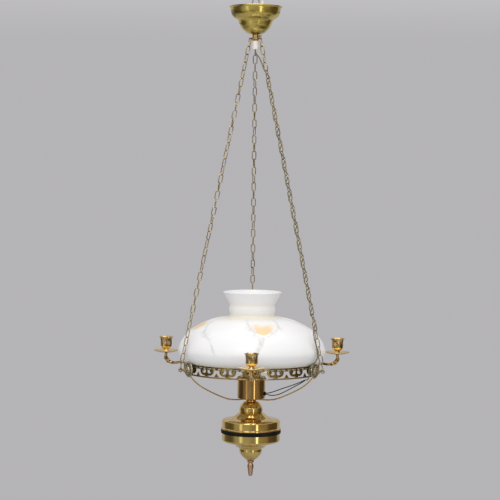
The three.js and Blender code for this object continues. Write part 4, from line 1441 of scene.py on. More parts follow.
@dataclass
class Gallery(SubAssembly):
    """The pierced ring that carries the glass, and the ledge that the glass stands on."""

    radius: float = 143.0
    inner: float = 141.2
    top: float = -762.7
    bottom: float = -785.7
    top_rail: float = 2.6
    bottom_rail: float = 3.6
    band_middle: float = 142.0
    band_half: float = 0.55
    periods: int = 18
    arm_span: float = 16.4
    arm_pads: float = -774.0
    rosette_pads: float = -773.0

    def ribbon(self, points: Points, widths: Sequence[float], smooth: bool = True) -> Shape:
        """Cuts a ribbon of sheet in the plane of x and z: a cushioned section whose width changes.

        Args:
            points: Pairs of x and z along its middle.
            widths: Half its width at each point.
            smooth: Whether the line is drawn smoothly through the points.

        Returns:
            The flat ribbon.
        """
        line = upright(np.column_stack([points, widths]))
        if smooth:
            line = smooth_line(line, 5)
        half = np.stack([np.full(len(line), self.band_half), line[:, 3]], axis=1)
        return sweep(line[:, :3], cushion_section(12, 0.6), half, side=ACROSS)

    def window(self) -> Pair:
        """Gives the heights between the two rails."""
        return self.bottom + self.bottom_rail, self.top - self.top_rail

    def motif(self) -> Shape:
        """Draws one anchor: a stem on a spread foot, and two arms that curl back at their tips.

        Returns:
            The flat motif, centred on x = 0.
        """
        low, high = self.window()
        clear = high - low
        middle = placed([[0, 0.06], [0, 0.2], [0, 0.34], [0, 0.5], [0, 0.8]], z=low, scale=(1.0, clear))
        line = np.concatenate([[[0, low - 0.4]], middle, [[0, high + 0.4]]])
        stem = self.ribbon(line, [5.4, 4.7, 2.9, 3.5, 2.7, 2.7, 3.6])
        shares = [[-0.03, 0.375], [0.2, 0.27], [0.45, 0.225], [0.7, 0.29], [0.88, 0.45], [0.94, 0.64],
                  [0.86, 0.8], [0.72, 0.83], [0.62, 0.74], [0.64, 0.62], [0.73, 0.58]]
        widths = [2.6, 2.5, 2.4, 2.6, 2.8, 2.8, 2.5, 2.1, 1.9, 2.1, 2.7]
        arm = self.ribbon(placed(shares, z=low, scale=(self.arm_span, clear)), widths)
        back = Shape(arm.corners * (-1.0, 1.0, 1.0), arm.faces[:, ::-1])
        return Shape.gathered([stem, arm, back])

    def points(self) -> Shape:
        """Draws what stands between two anchors: a triangle on the low rail and a point under the high one.

        Returns:
            The flat pair, centred on x = 0.
        """
        low, high = self.window()
        triangle = self.ribbon([[0, low - 0.4], [0, low + 3.4], [0, low + 7.0]], [5.6, 2.9, 0.3], False)
        point = self.ribbon([[0, high + 0.4], [0, high - 1.4], [0, high - 3.6]], [4.2, 2.4, 0.3], False)
        return Shape.gathered([triangle, point])

    def foot_rail(self) -> Shape:
        """Turns the half-round rail at the ring's foot.

        Returns:
            The rail.
        """
        bottom, inner, r = self.bottom, self.inner, self.radius
        low = [[inner, bottom], [r + 0.2, bottom], [r + 0.85, bottom + 0.7],
               [r + 1.0, bottom + self.bottom_rail / 2], [r + 0.85, bottom + 2.3], [r + 0.2, bottom + 3.0],
               [inner, bottom + 3.0]]
        return turned_ring(low, 0.4, 288)

    def band(self) -> Shape:
        """Bends the motifs round the ring under the flat upper rail and sets a pad at each fixing.

        Returns:
            The upper rail and the pierced band.
        """
        parts = [turned_ring(slab(self.inner, self.radius, self.top - self.top_rail, self.top), 0.45, 288)]
        anchor, between = self.motif(), self.points()
        period = 360.0 / self.periods
        for i in range(self.periods):
            angle = FRONT + i * period
            parts.append(anchor.round_ring(self.band_middle, angle))
            parts.append(between.round_ring(self.band_middle, angle + period / 2))
        pad = turned_ring(slab(2.3, 6.0, self.inner, self.radius - 0.15), 0.3, 40).along_x()
        for stations, height in ((ARM_STATIONS, self.arm_pads), (CHAIN_STATIONS, self.rosette_pads)):
            parts += [pad.moved(z=height).turned(angle) for angle in stations]
        return Shape.gathered(parts)

    def seat(self) -> Shape:
        """Makes the ledge under the glass, with a tab behind each rosette.

        Returns:
            The ledge and its tabs.
        """
        ledge = turned_ring(slab(132.5, 140.9, -769.5, -768.3), 0.25, 192)
        line = upright([[139.1, -778.5], [139.1, -772.0], [139.1, -768.6]])
        tab = sweep(line, cushion_section(16, 0.35), (6.0, 0.6), side=ACROSS)
        return Shape.gathered([ledge, *[tab.turned(angle) for angle in CHAIN_STATIONS]])

    def build(self) -> None:
        """Makes the ring and the ledge."""
        # painted shade: the band and its upper rail take a darker brass than the foot rail
        self.add("pierced_band", self.band(), Paint.SHADED_CAST_BRASS, "gallery_ring")
        self.add("gallery_foot_rail", self.foot_rail(), Paint.RAIL_BRASS, "gallery_ring")
        self.add("shade_ledge", self.seat(), Paint.BRIGHT_BRASS, "shade_seat")


@dataclass
class ChainEnds(SubAssembly):
    """What joins each chain to the ring: a rosette, the eye bolt through it and an S-hook."""

    foot: float = 143.3
    back: float = 147.6
    radius: float = 16.3
    height: float = -773.0
    eye_at: float = 168.5
    eye: float = 3.5
    wire: float = 2.3
    shank: float = 2.0
    head_at: float = 138.2
    washer_at: float = 153.75
    along: tuple[float, float, float] = (0.22397, 0.0, -0.97459)
    hook_wire: float = 2.26
    bend: float = 3.0
    rise: float = 12.0

    def rosette(self) -> Shape:
        """Presses the rosette: a dished disc with eight petals, beads round its middle and a scalloped edge.

        Petals lift the front by the root of |cos 4a|, veins cut them by cos 32a, the beads follow cos 12a
        and the edge follows |cos 4a| to the power of 0.7.

        Returns:
            The disc, laid along +X.
        """
        r, foot, back = self.radius, self.foot, self.back
        bore = self.shank + 0.3
        shares = [[1.0, 1.9], [0.985, 2.6], [0.9, 3.5], [0.76, 4.3], [0.62, 4.3], [0.5, 3.6], [0.42, 3.2],
                  [0.36, 3.6], [0.32, 4.6], [0.27, 5.6], [0.2, 6.0]]
        front = np.concatenate([placed(shares, z=back, scale=(r, 1.0)), [[bore, back + 6.0]]])
        rear = [[bore, foot], [5.0, foot], [5.5, back], [9.0, back + 0.3], [12.5, back + 0.8],
                [r * 0.97, back + 1.3]]
        profile = np.concatenate([smooth_line(rear, 3, (1, 2)), smooth_line(front, 5)])

        def petals(radius: Array, height: Array, angle: Array) -> tuple[Array, Array]:
            """Lifts the petals on the front and scallops the edge.

            Args:
                radius: Distances from the axis.
                height: Heights.
                angle: Angles about the axis.

            Returns:
                The new distances and heights.
            """
            share = radius / r
            wave = np.abs(np.cos(4 * angle))
            front_face = (height > back + 1.9) * ease(share, 0.34, 0.5)
            veins = 0.16 * np.cos(32 * angle) * ease(share, 0.5, 0.7)
            lift = front_face * (1.5 * (np.sqrt(wave) - 0.7) * ease(share, 1.02, 0.82) + veins)
            beads = 0.35 * np.cos(12 * angle) * ease(share, 0.3, 0.35) * ease(share, 0.46, 0.4)
            edge = 1 + 0.055 * (wave**0.7 - 0.6) * ease(share, 0.7, 0.98)
            return np.minimum(radius * edge, r * 1.03), height + lift + beads * (height > back + 2)

        return revolve(profile, 160, relief=petals).along_x().moved(z=self.height)

    def eye_bolt(self) -> Shape:
        """Makes the eye bolt: a shank along +X, a ring of wire at its outer end and a riveted head inside.

        Returns:
            The bolt.
        """
        at = self.head_at
        shank = turned_bar(slab(0, self.shank, at + 0.8, self.eye_at - self.eye))
        head = turned_bar([[0, at - 0.9], [2.4, at - 0.9], [3.4, at + 0.1], [3.4, at + 0.7],
                           [0, at + 0.7]], 0.4, 32)
        washer = turned_ring(slab(2.05, 4.6, self.washer_at, self.washer_at + 0.75), 0.25, 32)
        ring = torus(self.eye, self.wire)
        x, y, z = ring.corners.T
        upright_ring = Shape(np.stack([x + self.eye_at, z, y], axis=1), ring.faces[:, ::-1])
        bolt = Shape.gathered([shank.along_x(), head.along_x(), washer.along_x(), upright_ring])
        return bolt.moved(z=self.height)

    def s_hook(self) -> Shape:
        """Bends the S-hook: two arcs of wire, one up and one down, in the plane of the chain and the tangent.

        Returns:
            The hook.
        """
        foot, along = np.array(HOOK_FOOT), np.array(self.along)
        angle = np.radians(np.concatenate([np.linspace(140, 360, 20), np.linspace(180, -40, 20)]))
        lift = np.repeat([0.0, self.rise], 20)
        sideways, upwards = self.bend * np.cos(angle), lift + self.bend * np.sin(angle)
        path = foot + sideways[:, None] * np.array(ACROSS) - upwards[:, None] * along
        return sweep(path, circle(12), self.hook_wire / 2)

    def build(self) -> None:
        """Makes the three chain ends."""
        self.add_round(
            CHAIN_STATIONS,
            ("petal_rosette", self.rosette(), Paint.ROSETTE_BRASS, "rosette"),
            ("eye_bolt_wire", self.eye_bolt(), Paint.CHAIN_BRASS, "eye_bolt"),
            ("hook_wire", self.s_hook(), Paint.CHAIN_BRASS, "s_hook"),
        )


@dataclass
class CandleArms(SubAssembly):
    """The three cast arms with their drip pans and candle cups."""

    frame: dict[str, Any]
    root: float = 143.3
    tip: float = 213.9
    height: float = -774.0
    drop: float = 17.0
    stud: float = 1.9
    pan_under: float = -756.7
    pan_radius: float = 26.4
    cup_bottom: float = -755.3
    cup_height: float = 32.2
    cup_radius: float = 14.9
    cup_floor: float = -740.6

    def arm(self) -> Shape:
        """Casts the arm: a branch that swells into leaves where it bends up, with a flange at the ring.

        The section's radius follows 1 + 0.14 (|cos 2.5b| - 0.5) for the ribs and is lifted by leaf tips down
        its length.

        Returns:
            The branch, its flange and its studs.
        """
        root = self.root
        shares = [[1, 1], [1, 0.9], [1.003, 0.76], [1.01, 0.53], [1.0, 0.3], [0.965, 0.1], [0.92, -0.06],
                  [0.866, -0.18], [0.8, -0.25], [0.725, -0.265], [0.63, -0.24], [0.55, -0.18], [0.42, -0.11],
                  [0.3, -0.06], [0.15, -0.015], [0.02, 0]]
        half = [3.3, 2.9, 2.7, 3.2, 3.9, 4.2, 4.1, 3.7, 3.2, 2.9, 2.7, 2.6, 2.6, 2.7, 2.9, 3.4]
        pairs = placed(shares, root, self.height, (self.tip - root, self.drop))
        line = smooth_line(upright(np.column_stack([pairs, half])), 7)

        def leaves(share: Array, angle: Array) -> Array:
            """Raises ribs round the branch and overlapping leaf tips along it.

            Args:
                share: Shares of the length.
                angle: Angles round the section.

            Returns:
                The factors of the section.
            """
            ribs = 0.14 * (np.abs(np.cos(2.5 * angle)) - 0.5)
            phase = (share * 7.5 + 0.2 * np.cos(2 * angle)) % 1.0
            tips = (0.26 * phase**1.6 - 0.08) * ease(share, 0.02, 0.1) * ease(share, 0.75, 0.6)
            return 1.0 + ribs + tips

        branch = sweep(line[:, :3], circle(28), np.repeat(line[:, 3:], 2, axis=1), side=ACROSS, swell=leaves)
        flange = turned_bar([[0, root], [6.0, root], [6.0, root + 1.0], [4.6, root + 1.8],
                             [0, root + 2.4]], 0.4)
        stud = turned_bar(slab(0, self.stud, root - 7, root + 2))
        post = turned_bar(slab(0, self.stud, self.pan_under - 2, self.cup_bottom + 8))
        bar = Shape.gathered([flange.along_x(), stud.along_x()]).moved(z=self.height)
        return Shape.gathered([branch, bar, post.moved(x=self.tip)])

    def pan(self) -> Shape:
        """Presses the drip pan: a shallow dish with a rolled rim.

        Returns:
            The pan.
        """
        r, under = self.pan_radius, self.pan_under
        outline = [[2.2, 0.0], [8.0, 0.0], [14.5, 0.0], [17.5, 0.35], [21.0, 1.4], [24.4, 2.9],
                   [r - 0.2, 3.75]]
        rim = [[r, 4.25], [r - 0.3, 4.75], [r - 1.1, 4.7]]
        top = [[24.0, 4.05], [20.6, 2.5], [17.2, 1.42], [14.3, 1.1], [8.0, 1.1], [2.2, 1.1]]
        lines = (smooth_line(placed(outline, z=under), 3, (2,)), placed(rim, z=under),
                 smooth_line(placed(top, z=under), 3, (3,)))
        return revolve(np.concatenate(lines), 96).moved(x=self.tip)

    def cup(self) -> Shape:
        """Casts the candle cup: a tulip on a turned foot, with pressed petals and a flared, lobed lip.

        Petals follow |cos 3a|, twisted a little up the belly, and the lip's lobes follow cos 12a.

        Returns:
            The cup.
        """
        r, h, low, floor = self.cup_radius, self.cup_height, self.cup_bottom, self.cup_floor
        rim = low + h
        shares = [
            [6.7, 0.0], [6.7, 0.05], [5.9, 0.09], [5.2, 0.13], [5.5, 0.17], [7.4, 0.2], [9.4, 0.26],
            [11.0, 0.34], [11.8, 0.44], [12.1, 0.55], [12.2, 0.66], [12.4, 0.76], [12.9, 0.85], [13.8, 0.93],
        ]
        outer = np.concatenate([placed(shares, z=low, scale=(1.0, h)), [[r - 0.35, rim - 0.5]]])
        lip = [[r - 0.1, rim - 0.1], [r - 0.6, rim], [r - 1.5, rim - 0.25]]
        inner = [[11.7, rim - 2.6], [10.9, rim - 5.5], [10.4, rim - 9.0], [9.9, rim - 13.0],
                 [9.4, floor + 0.5], [8.9, floor], [5.0, floor], [0.0, floor]]
        well = low + 8.3
        start = [[0.0, well], [2.2, well], [2.2, low]]
        profile = np.concatenate([start, smooth_line(outer, 4, (1,)), lip, smooth_line(inner, 3, (5,))])
        belly_low, belly_high = low + 0.2 * h, low + 0.88 * h

        def tulip(radius: Array, height: Array, angle: Array) -> tuple[Array, Array]:
            """Presses petals into the outside and lobes into the lip.

            Args:
                radius: Distances from the axis.
                height: Heights.
                angle: Angles about the axis.

            Returns:
                The new distances and the heights.
            """
            outside = radius > 4.8
            outside = outside & ((radius > 10.95) | (height < floor + 1.0) | (height < low + 0.45 * h))
            belly = ease(height, belly_low, belly_low + 3.0) * ease(height, belly_high, belly_high - 4.0)
            petal = np.abs(np.cos(3 * angle + 0.12 * (height - low))) ** 0.6
            veins = 0.08 * np.cos(24 * angle)
            lobes = 0.45 * np.cos(12 * angle) * ease(height, rim - 4.0, rim - 0.5)
            return radius + outside * belly * (0.75 * (petal - 0.75) + veins) + lobes, height

        return revolve(profile, 144, ring=False, relief=tulip).moved(x=self.tip)

    def build(self) -> None:
        """Makes the three arms with their pans and cups."""
        self.add_round(
            ARM_STATIONS,
            ("leaf_arm", self.arm(), Paint.LEAF_BRASS, "candle_arm"),
            ("drip_dish", self.pan(), Paint.DISH_BRASS, "drip_pan"),
            ("tulip_cup", self.cup(), Paint.LEAF_BRASS, "candle_cup"),
        )
        self.dress(self.frame, [f"arm_nut_{i}" for i in (1, 2, 3)], Paint.BRIGHT_BRASS)


@dataclass
class Burner(SubAssembly):
    """The drum on its rods, with the flared collar, the lampholder and the bulb."""

    frame: dict[str, Any]
    drum_radius: float = 29.2
    drum_top: float = -794.4
    drum_bottom: float = -839.8
    drum_wall: float = 1.2
    drum_hole: float = 17.6
    bore: float = 3.3
    cable_angle: float = 345.0
    cable_height: float = -829.8
    cap_radius: float = 12.5
    cap_low: float = -817.5
    cap_high: float = -789.5
    thread_pitch: float = 3.6
    bulb_radius: float = 30.0
    bulb_height: float = 106.0
    bulb_low: float = -789.2
    bulb_wall: float = 0.9
    rod: float = 2.84
    rod_foot: float = -785.7
    rod_outside: float = 145.75
    rod_tail: float = -841.9
    rod_bend: float = 1.75
    hub: float = 9.0

    def drum(self) -> Shape:
        """Spins the drum: a plain wall under a rounded shoulder, open at the top.

        Returns:
            The drum.
        """
        r, top, low, wall = self.drum_radius, self.drum_top, self.drum_bottom, self.drum_wall
        hole, bore = self.drum_hole, self.bore
        shoulder = smooth_line(placed([[-3.2, 0.0], [-1.3, -0.55], [-0.35, -1.6], [0.0, -3.2]], r, top), 3)
        outer = np.concatenate([[[hole, top]], shoulder, [[r, low + 0.2], [r - 0.5, low], [bore, low]]])
        inner = [[bore, low + wall], [r - wall, low + wall], [r - wall, top - 3.2], [r - 3.4, top - wall],
                 [hole, top - wall]]
        return turned_ring(np.concatenate([outer, inner]), 0.3, 128)

    def collar(self) -> Shape:
        """Spins the flared collar, beaded at its lip.

        Returns:
            The collar.
        """
        outline = [[23.6, -782.9], [24.0, -783.4], [23.6, -784.2], [22.3, -785.7], [21.0, -787.9],
                   [20.0, -790.4], [19.3, -792.6], [19.0, -794.1]]
        return turned_ring(walled(smooth_line(outline, 4), self.drum_wall), 0.3, 128)

    def bulb_cap(self) -> Shape:
        """Turns the bulb's cap: its thread follows r = r0 + 0.45 cos(turns of z less the angle).

        Returns:
            The cap.
        """
        low, high, r = self.cap_low, self.cap_high, self.cap_radius
        wall = [[r, z] for z in np.linspace(low + 3.2, high - 2.2, 90)]
        foot = placed([[0, 0], [4.6, 0], [5.0, 0.6], [6.2, 1.6], [r - 0.8, 2.9]], z=low)
        rim = placed([[12.9, -1.8], [12.9, -0.3], [12.5, 0], [0, 0]], z=high)

        def thread(radius: Array, height: Array, angle: Array) -> tuple[Array, Array]:
            """Winds the thread round the wall."""
            here = ease(height, low + 3.2, low + 5.0) * ease(height, high - 2.2, high - 4.5) * (radius > 12.2)
            return radius + 0.45 * here * np.cos(2 * np.pi * height / self.thread_pitch - angle), height

        return revolve(np.concatenate([foot, wall, rim]), 72, ring=False, relief=thread)

    def bulb(self) -> Shape:
        """Blows the bulb: a pear-shaped envelope of thin glass, open at its neck.

        Returns:
            The envelope.
        """
        shares = [[0, 1], [0.3, 0.988], [0.62, 0.94], [0.83, 0.875], [0.95, 0.8], [1, 0.7], [0.965, 0.6],
                  [0.84, 0.48], [0.68, 0.36], [0.55, 0.24], [0.48, 0.13], [0.447, 0.0]]
        outer = smooth_line(placed(shares, z=self.bulb_low, scale=(self.bulb_radius, self.bulb_height)), 6)
        line = walled(outer, self.bulb_wall)
        line[-1] = [0.0, outer[0, 1] - self.bulb_wall]
        line[:, 0] = np.maximum(line[:, 0], 0.0)
        return revolve(line, 96, ring=False)

    def support(self) -> Shape:
        """Bends one support rod: it hooks over the ring's foot, dips in a long curve and runs into the hub.

        Returns:
            The rod, in the X and Z plane of its station.
        """
        foot, tail, bend = self.rod_foot, self.rod_tail, self.rod_bend
        outside, hub = self.rod_outside, self.hub
        shares = [[0.965, 0.09], [0.83, 0.38], [0.667, 0.61], [0.545, 0.755], [0.43, 0.875], [0.34, 0.95],
                  [0.24, 0.99], [0.15, 1]]
        hook = placed([[0.0, 5.8], [0.0, 1.45], [0.0, -0.725], [-1.45, -2.32]], outside, foot)
        run = placed(shares, hub, foot - bend, (outside - hub, -(foot - tail - bend)))
        line = np.concatenate([hook, run, [[hub + 0.3, tail]]])
        return sweep(smooth_line(upright(line), 6), circle(12), self.rod / 2, side=ACROSS)

    def grommet(self) -> Shape:
        """Moulds the grommet in the drum's wall, round the two cores.

        Returns:
            The grommet, at its place.
        """
        lip = [[2.5, -1.5], [3.3, -1.5], [3.3, 0.3], [4.2, 0.3], [4.6, 0.8], [4.2, 1.5], [3.2, 1.7],
               [2.5, 1.7]]
        made = turned_ring(placed(lip, z=self.drum_radius), 0.2, 40)
        return made.along_x().moved(z=self.cable_height).turned(self.cable_angle)

    def build(self) -> None:
        """Makes the burner, its rods and the bulb."""
        bore, hub = self.bore, self.hub
        shell = [[bore, -838.3], [16.6, -838.3], [16.6, -792.3], [15.6, -792.3], [15.6, -836.7],
                 [bore, -836.7]]
        block = [[0, -832.4], [14.6, -832.4], [14.6, -819.4], [9.0, -819.4], [8.6, -820.2], [3.4, -820.2],
                 [3.0, -818.0], [2.4, -817.8], [0, -817.8]]
        disc = [[bore, -843.7], [8.2, -843.7], [hub, -842.9], [hub, -840.9], [8.2, -840.1], [bore, -840.1]]
        self.add("burner_shell", self.drum(), Paint.WALL_BRASS, "burner_drum")
        self.add("flared_collar", self.collar(), Paint.BRIGHT_BRASS, "burner_collar")
        self.add("grommet_ring", self.grommet(), Paint.RUBBER, "cable_grommet")
        self.add("holder_shell", turned_ring(shell, 0.3, 80), Paint.BRIGHT_BRASS, "lampholder_shell")
        self.add("holder_insert", turned_bar(block, 0.4, 64), Paint.PORCELAIN, "lampholder_insert")
        self.add("bulb_screw_cap", self.bulb_cap(), Paint.STEEL, "bulb_cap", Body.BULB)
        self.add("bulb_envelope", self.bulb(), Paint.CLEAR, "bulb_glass", Body.BULB)
        self.add_round(CHAIN_STATIONS, ("rod_wire", self.support(), Paint.BRIGHT_BRASS, "support_rod"))
        self.add("hub_disc", turned_ring(disc, 0.2, 64), Paint.BRIGHT_BRASS, "rod_hub")
        self.dress(self.frame, ["tie_rod"], Paint.STEEL)


@dataclass
class LowerBody(SubAssembly):
    """The turned body under the burner: ball knop, two drum shells with a gasket, and the finial."""

    bore: float = 3.3
    radius: float = 61.3
    wall: float = 1.2

    def knop(self) -> Shape:
        """Turns the ball knop under its narrow collar.

        Returns:
            The knop.
        """
        top, low = -844.0, -871.0
        curve = placed(
            [[11.0, -2.9], [13.4, -3.3], [16.0, -4.7], [18.6, -7.2], [20.9, -10.3], [22.9, -13.9],
             [24.3, -17.6], [24.8, -21.0], [24.4, -24.2]], z=top,
        )
        ball = smooth_line(np.concatenate([curve, [[23.5, low]]]), 4)
        line = np.concatenate([[[self.bore, top], [10.4, top], [11.0, top - 0.7]], ball, [[self.bore, low]]])
        return turned_ring(line, 0.3, 144)

    def upper(self) -> Shape:
        """Spins the upper shell: a bell that spreads into a flat shoulder, a rolled edge, a wall and a bead.

        Returns:
            The shell.
        """
        top, r, inside = -871.3, self.radius, self.radius - self.wall
        low = top - 34.6
        bell = [[24.4, 0.0], [26.4, -0.4], [28.3, -1.6], [30.6, -3.5], [33.2, -5.7], [36.4, -8.0],
                [40.6, -9.9], [46.0, -11.2], [52.0, -12.1], [56.9, -13.2], [60.0, -15.0], [r, -18.0]]
        bead = [[0.0, -29.8], [0.9, -30.7], [1.6, -32.1], [1.2, -33.5], [0.0, -34.1]]
        inner = [[inside, -18.6], [r - 3.6, -15.9], [51.2, -13.9], [41.0, -10.4], [34.0, -8.0], [28.0, -3.3],
                 [24.0, -1.3], [self.bore, -1.2]]
        inner = np.concatenate([[[inside, low]], placed(inner, z=top)])
        line = np.concatenate([
            [[self.bore, top]], smooth_line(placed(bell, z=top), 4), [[r, top - 24.0]],
            smooth_line(placed(bead, r, top), 3), [[r, low]], smooth_line(inner, 2, (1, 7)),
        ])
        return turned_ring(line, 0.35, 160)

    def lower(self) -> Shape:
        """Spins the lower shell: a wall, a turned-in step, a cup and a ball that ends at the finial.

        Returns:
            The shell.
        """
        top, r, inside = -913.8, self.radius, self.radius - self.wall
        low = top - 58.1
        outer = [[r, 0.0], [r, -7.5], [r, -13.6], [60.3, -15.6], [58.0, -17.2], [54.0, -18.7], [47.0, -20.6],
                 [40.5, -22.3], [36.4, -24.0], [33.0, -26.6], [30.4, -29.0], [27.2, -30.4], [25.0, -31.8],
                 [24.3, -33.4], [24.3, -36.0], [23.7, -39.4], [22.1, -43.6], [19.2, -47.6], [15.6, -51.2],
                 [12.0, -54.6], [9.0, -57.0], [7.2, -58.1]]
        inner = [[self.bore, 1.2], [6.2, 1.2], [12.6, 6.6], [20.0, 14.0], [22.8, 24.0], [31.0, 32.6],
                 [44.0, 37.4], [58.6, 42.0], [inside, 45.0]]
        inner = np.concatenate([placed(inner, z=low), [[inside, top]]])
        outer = smooth_line(placed(outer, z=top), 4, (2,))
        line = np.concatenate([outer, [[self.bore, low]], smooth_line(inner, 2, (1, 8))])
        return turned_ring(line, 0.3, 160)

    def finial(self) -> Shape:
        """Turns the finial: a collar, a waist and a long tapered drop.

        Returns:
            The finial, hollow where the tie rod enters.
        """
        top, low = -972.2, -1005.4
        curve = placed(
            [[4.9, -4.7], [4.8, -5.6], [5.7, -7.4], [6.5, -10.0], [6.7, -12.6], [6.3, -16.0], [5.6, -20.0],
             [4.9, -25.0], [4.3, -29.5], [3.9, -31.6], [3.0, -32.8]], z=top,
        )
        drop = smooth_line(np.concatenate([curve, [[1.6, low + 0.08], [0.0, low]]]), 4)
        bore = self.bore
        collar = [[0.0, -9.3], [bore, -9.3], [bore, 0.0], [6.5, 0.0], [7.1, -0.6], [7.1, -3.0], [6.4, -3.6]]
        return turned_bar(np.concatenate([placed(collar, z=top), drop]), 0.25, 72)

    def build(self) -> None:
        """Makes the lower body."""
        band = [[50.0, -913.5], [62.2, -913.5], [63.0, -912.6], [63.0, -907.0], [62.2, -906.1],
                [50.0, -906.1]]
        self.add("knop_ball", self.knop(), Paint.BRIGHT_BRASS, "ball_knop")
        self.add("upper_shell", self.upper(), Paint.BRIGHT_BRASS, "upper_drum_shell")
        self.add("gasket_band", turned_ring(band, 0.4, 144), Paint.RUBBER, "drum_gasket")
        self.add("lower_shell", self.lower(), Paint.SPUN_BRASS, "lower_drum_shell")
        self.add("finial_drop", self.finial(), Paint.BRONZE, "finial", Body.FINIAL)


@dataclass
class Flexes(SubAssembly):
    """The supply flex in the stem, the length woven through a chain, and its two cores at the burner.

    The points are those of the solids, in millimetres.
    """

    diameter: float = 2.6
    core_diameter: float = 2.0
    weave: float = 2.7
    first_junction: int = 3
    last_junction: int = 35
    station: float = 330.0

    def upper(self) -> Shape:
        """Runs the flex up the stem, out between the cheeks of the fork and up into the terminals.

        Returns:
            The flex.
        """
        points = [[0, 0, -109.8], [0, 0, -95], [0, 0, -80], [0, 0, -65], [0, 0, -50], [0, 0, -42],
                  [0, 2.6, -37.2], [1.5, 6.4, -35.2], [5.6, 9.4, -34.6], [10.2, 8.6, -34.2],
                  [13.1, 5.2, -32.6], [13.5, 1.6, -30.2], [13.5, 1.4, -28.6]]
        return sweep(smooth_line(points, 5), circle(12), self.diameter / 2)

    def junctions(self, chains: Chains) -> Array:
        """Works out where the flex passes between the links, on alternate sides of the chain.

        Args:
            chains: The chains.

        Returns:
            The places, in the plane of the chain's station.
        """
        start, along, pitch = chains.run()
        number = np.arange(self.first_junction, self.last_junction + 1)
        down = (pitch - chains.bite) + number * pitch - chains.bite / 2
        sign = np.where(number % 2 == 1, -1.0, 1.0)[:, None]
        across = np.array([-along[2], 0.0, along[0]]) + np.array(ACROSS)
        return start + down[:, None] * along + sign * self.weave * across

    def lower(self) -> Shape:
        """Runs the flex from the grip to its chain, in and out between the links, and behind the rosette.

        Returns:
            The flex.
        """
        first = [[0, 0, -111.3], [0.6, -0.3, -115.6], [4.2, -1.4, -120.8], [9.6, -2.5, -126.2],
                 [14.2, -2.8, -133], [18, -2.9, -141]]
        last = [[151.1, -6.7, -703], [155.9, -7, -719], [158.9, -7, -731], [160.6, -8, -742],
                [158.6, -11.4, -750.5], [153.6, -15, -757.5], [148.6, -17.2, -763.5], [145.9, -17, -769.5],
                [145.5, -16.4, -777], [145.4, -16.4, -784.5], [143.4, -16.8, -789], [139.2, -17.6, -791]]
        line = smooth_line(np.concatenate([first, self.junctions(Chains(self.paints)), last]), 5)
        return sweep(line, circle(12), self.diameter / 2).turned(self.station)

    def build(self) -> None:
        """Makes the four lengths."""
        self.add("flex_in_stem", self.upper(), Paint.FLEX, "flex_upper", Body.STEM)
        self.add("flex_on_chain", self.lower(), Paint.FLEX, "flex_lower")
        high = [[110.8, -83.6, -790.2], [104, -77.2, -794.6], [86, -61, -804.2], [62, -38.5, -815.6],
                [44, -21, -824.6], [35.6, -11.4, -828], [31.6, -8.4, -828.6], [27.4, -7.3, -828.6]]
        low = [[109.6, -85.2, -791.8], [102, -78.6, -797.8], [88, -65, -807.4], [72.5, -49.4, -818.2],
               [58, -35.6, -827], [44, -21.6, -831.6], [35.8, -11.6, -831.8], [31.7, -8.5, -831.1],
               [27.5, -7.4, -830.95]]
        for i, points in enumerate((high, low), 1):
            core = sweep(smooth_line(points, 7), circle(12), self.core_diameter / 2)
            self.add(f"flex_core_wire_{i}", core, Paint.CORE, f"flex_core_{i}")


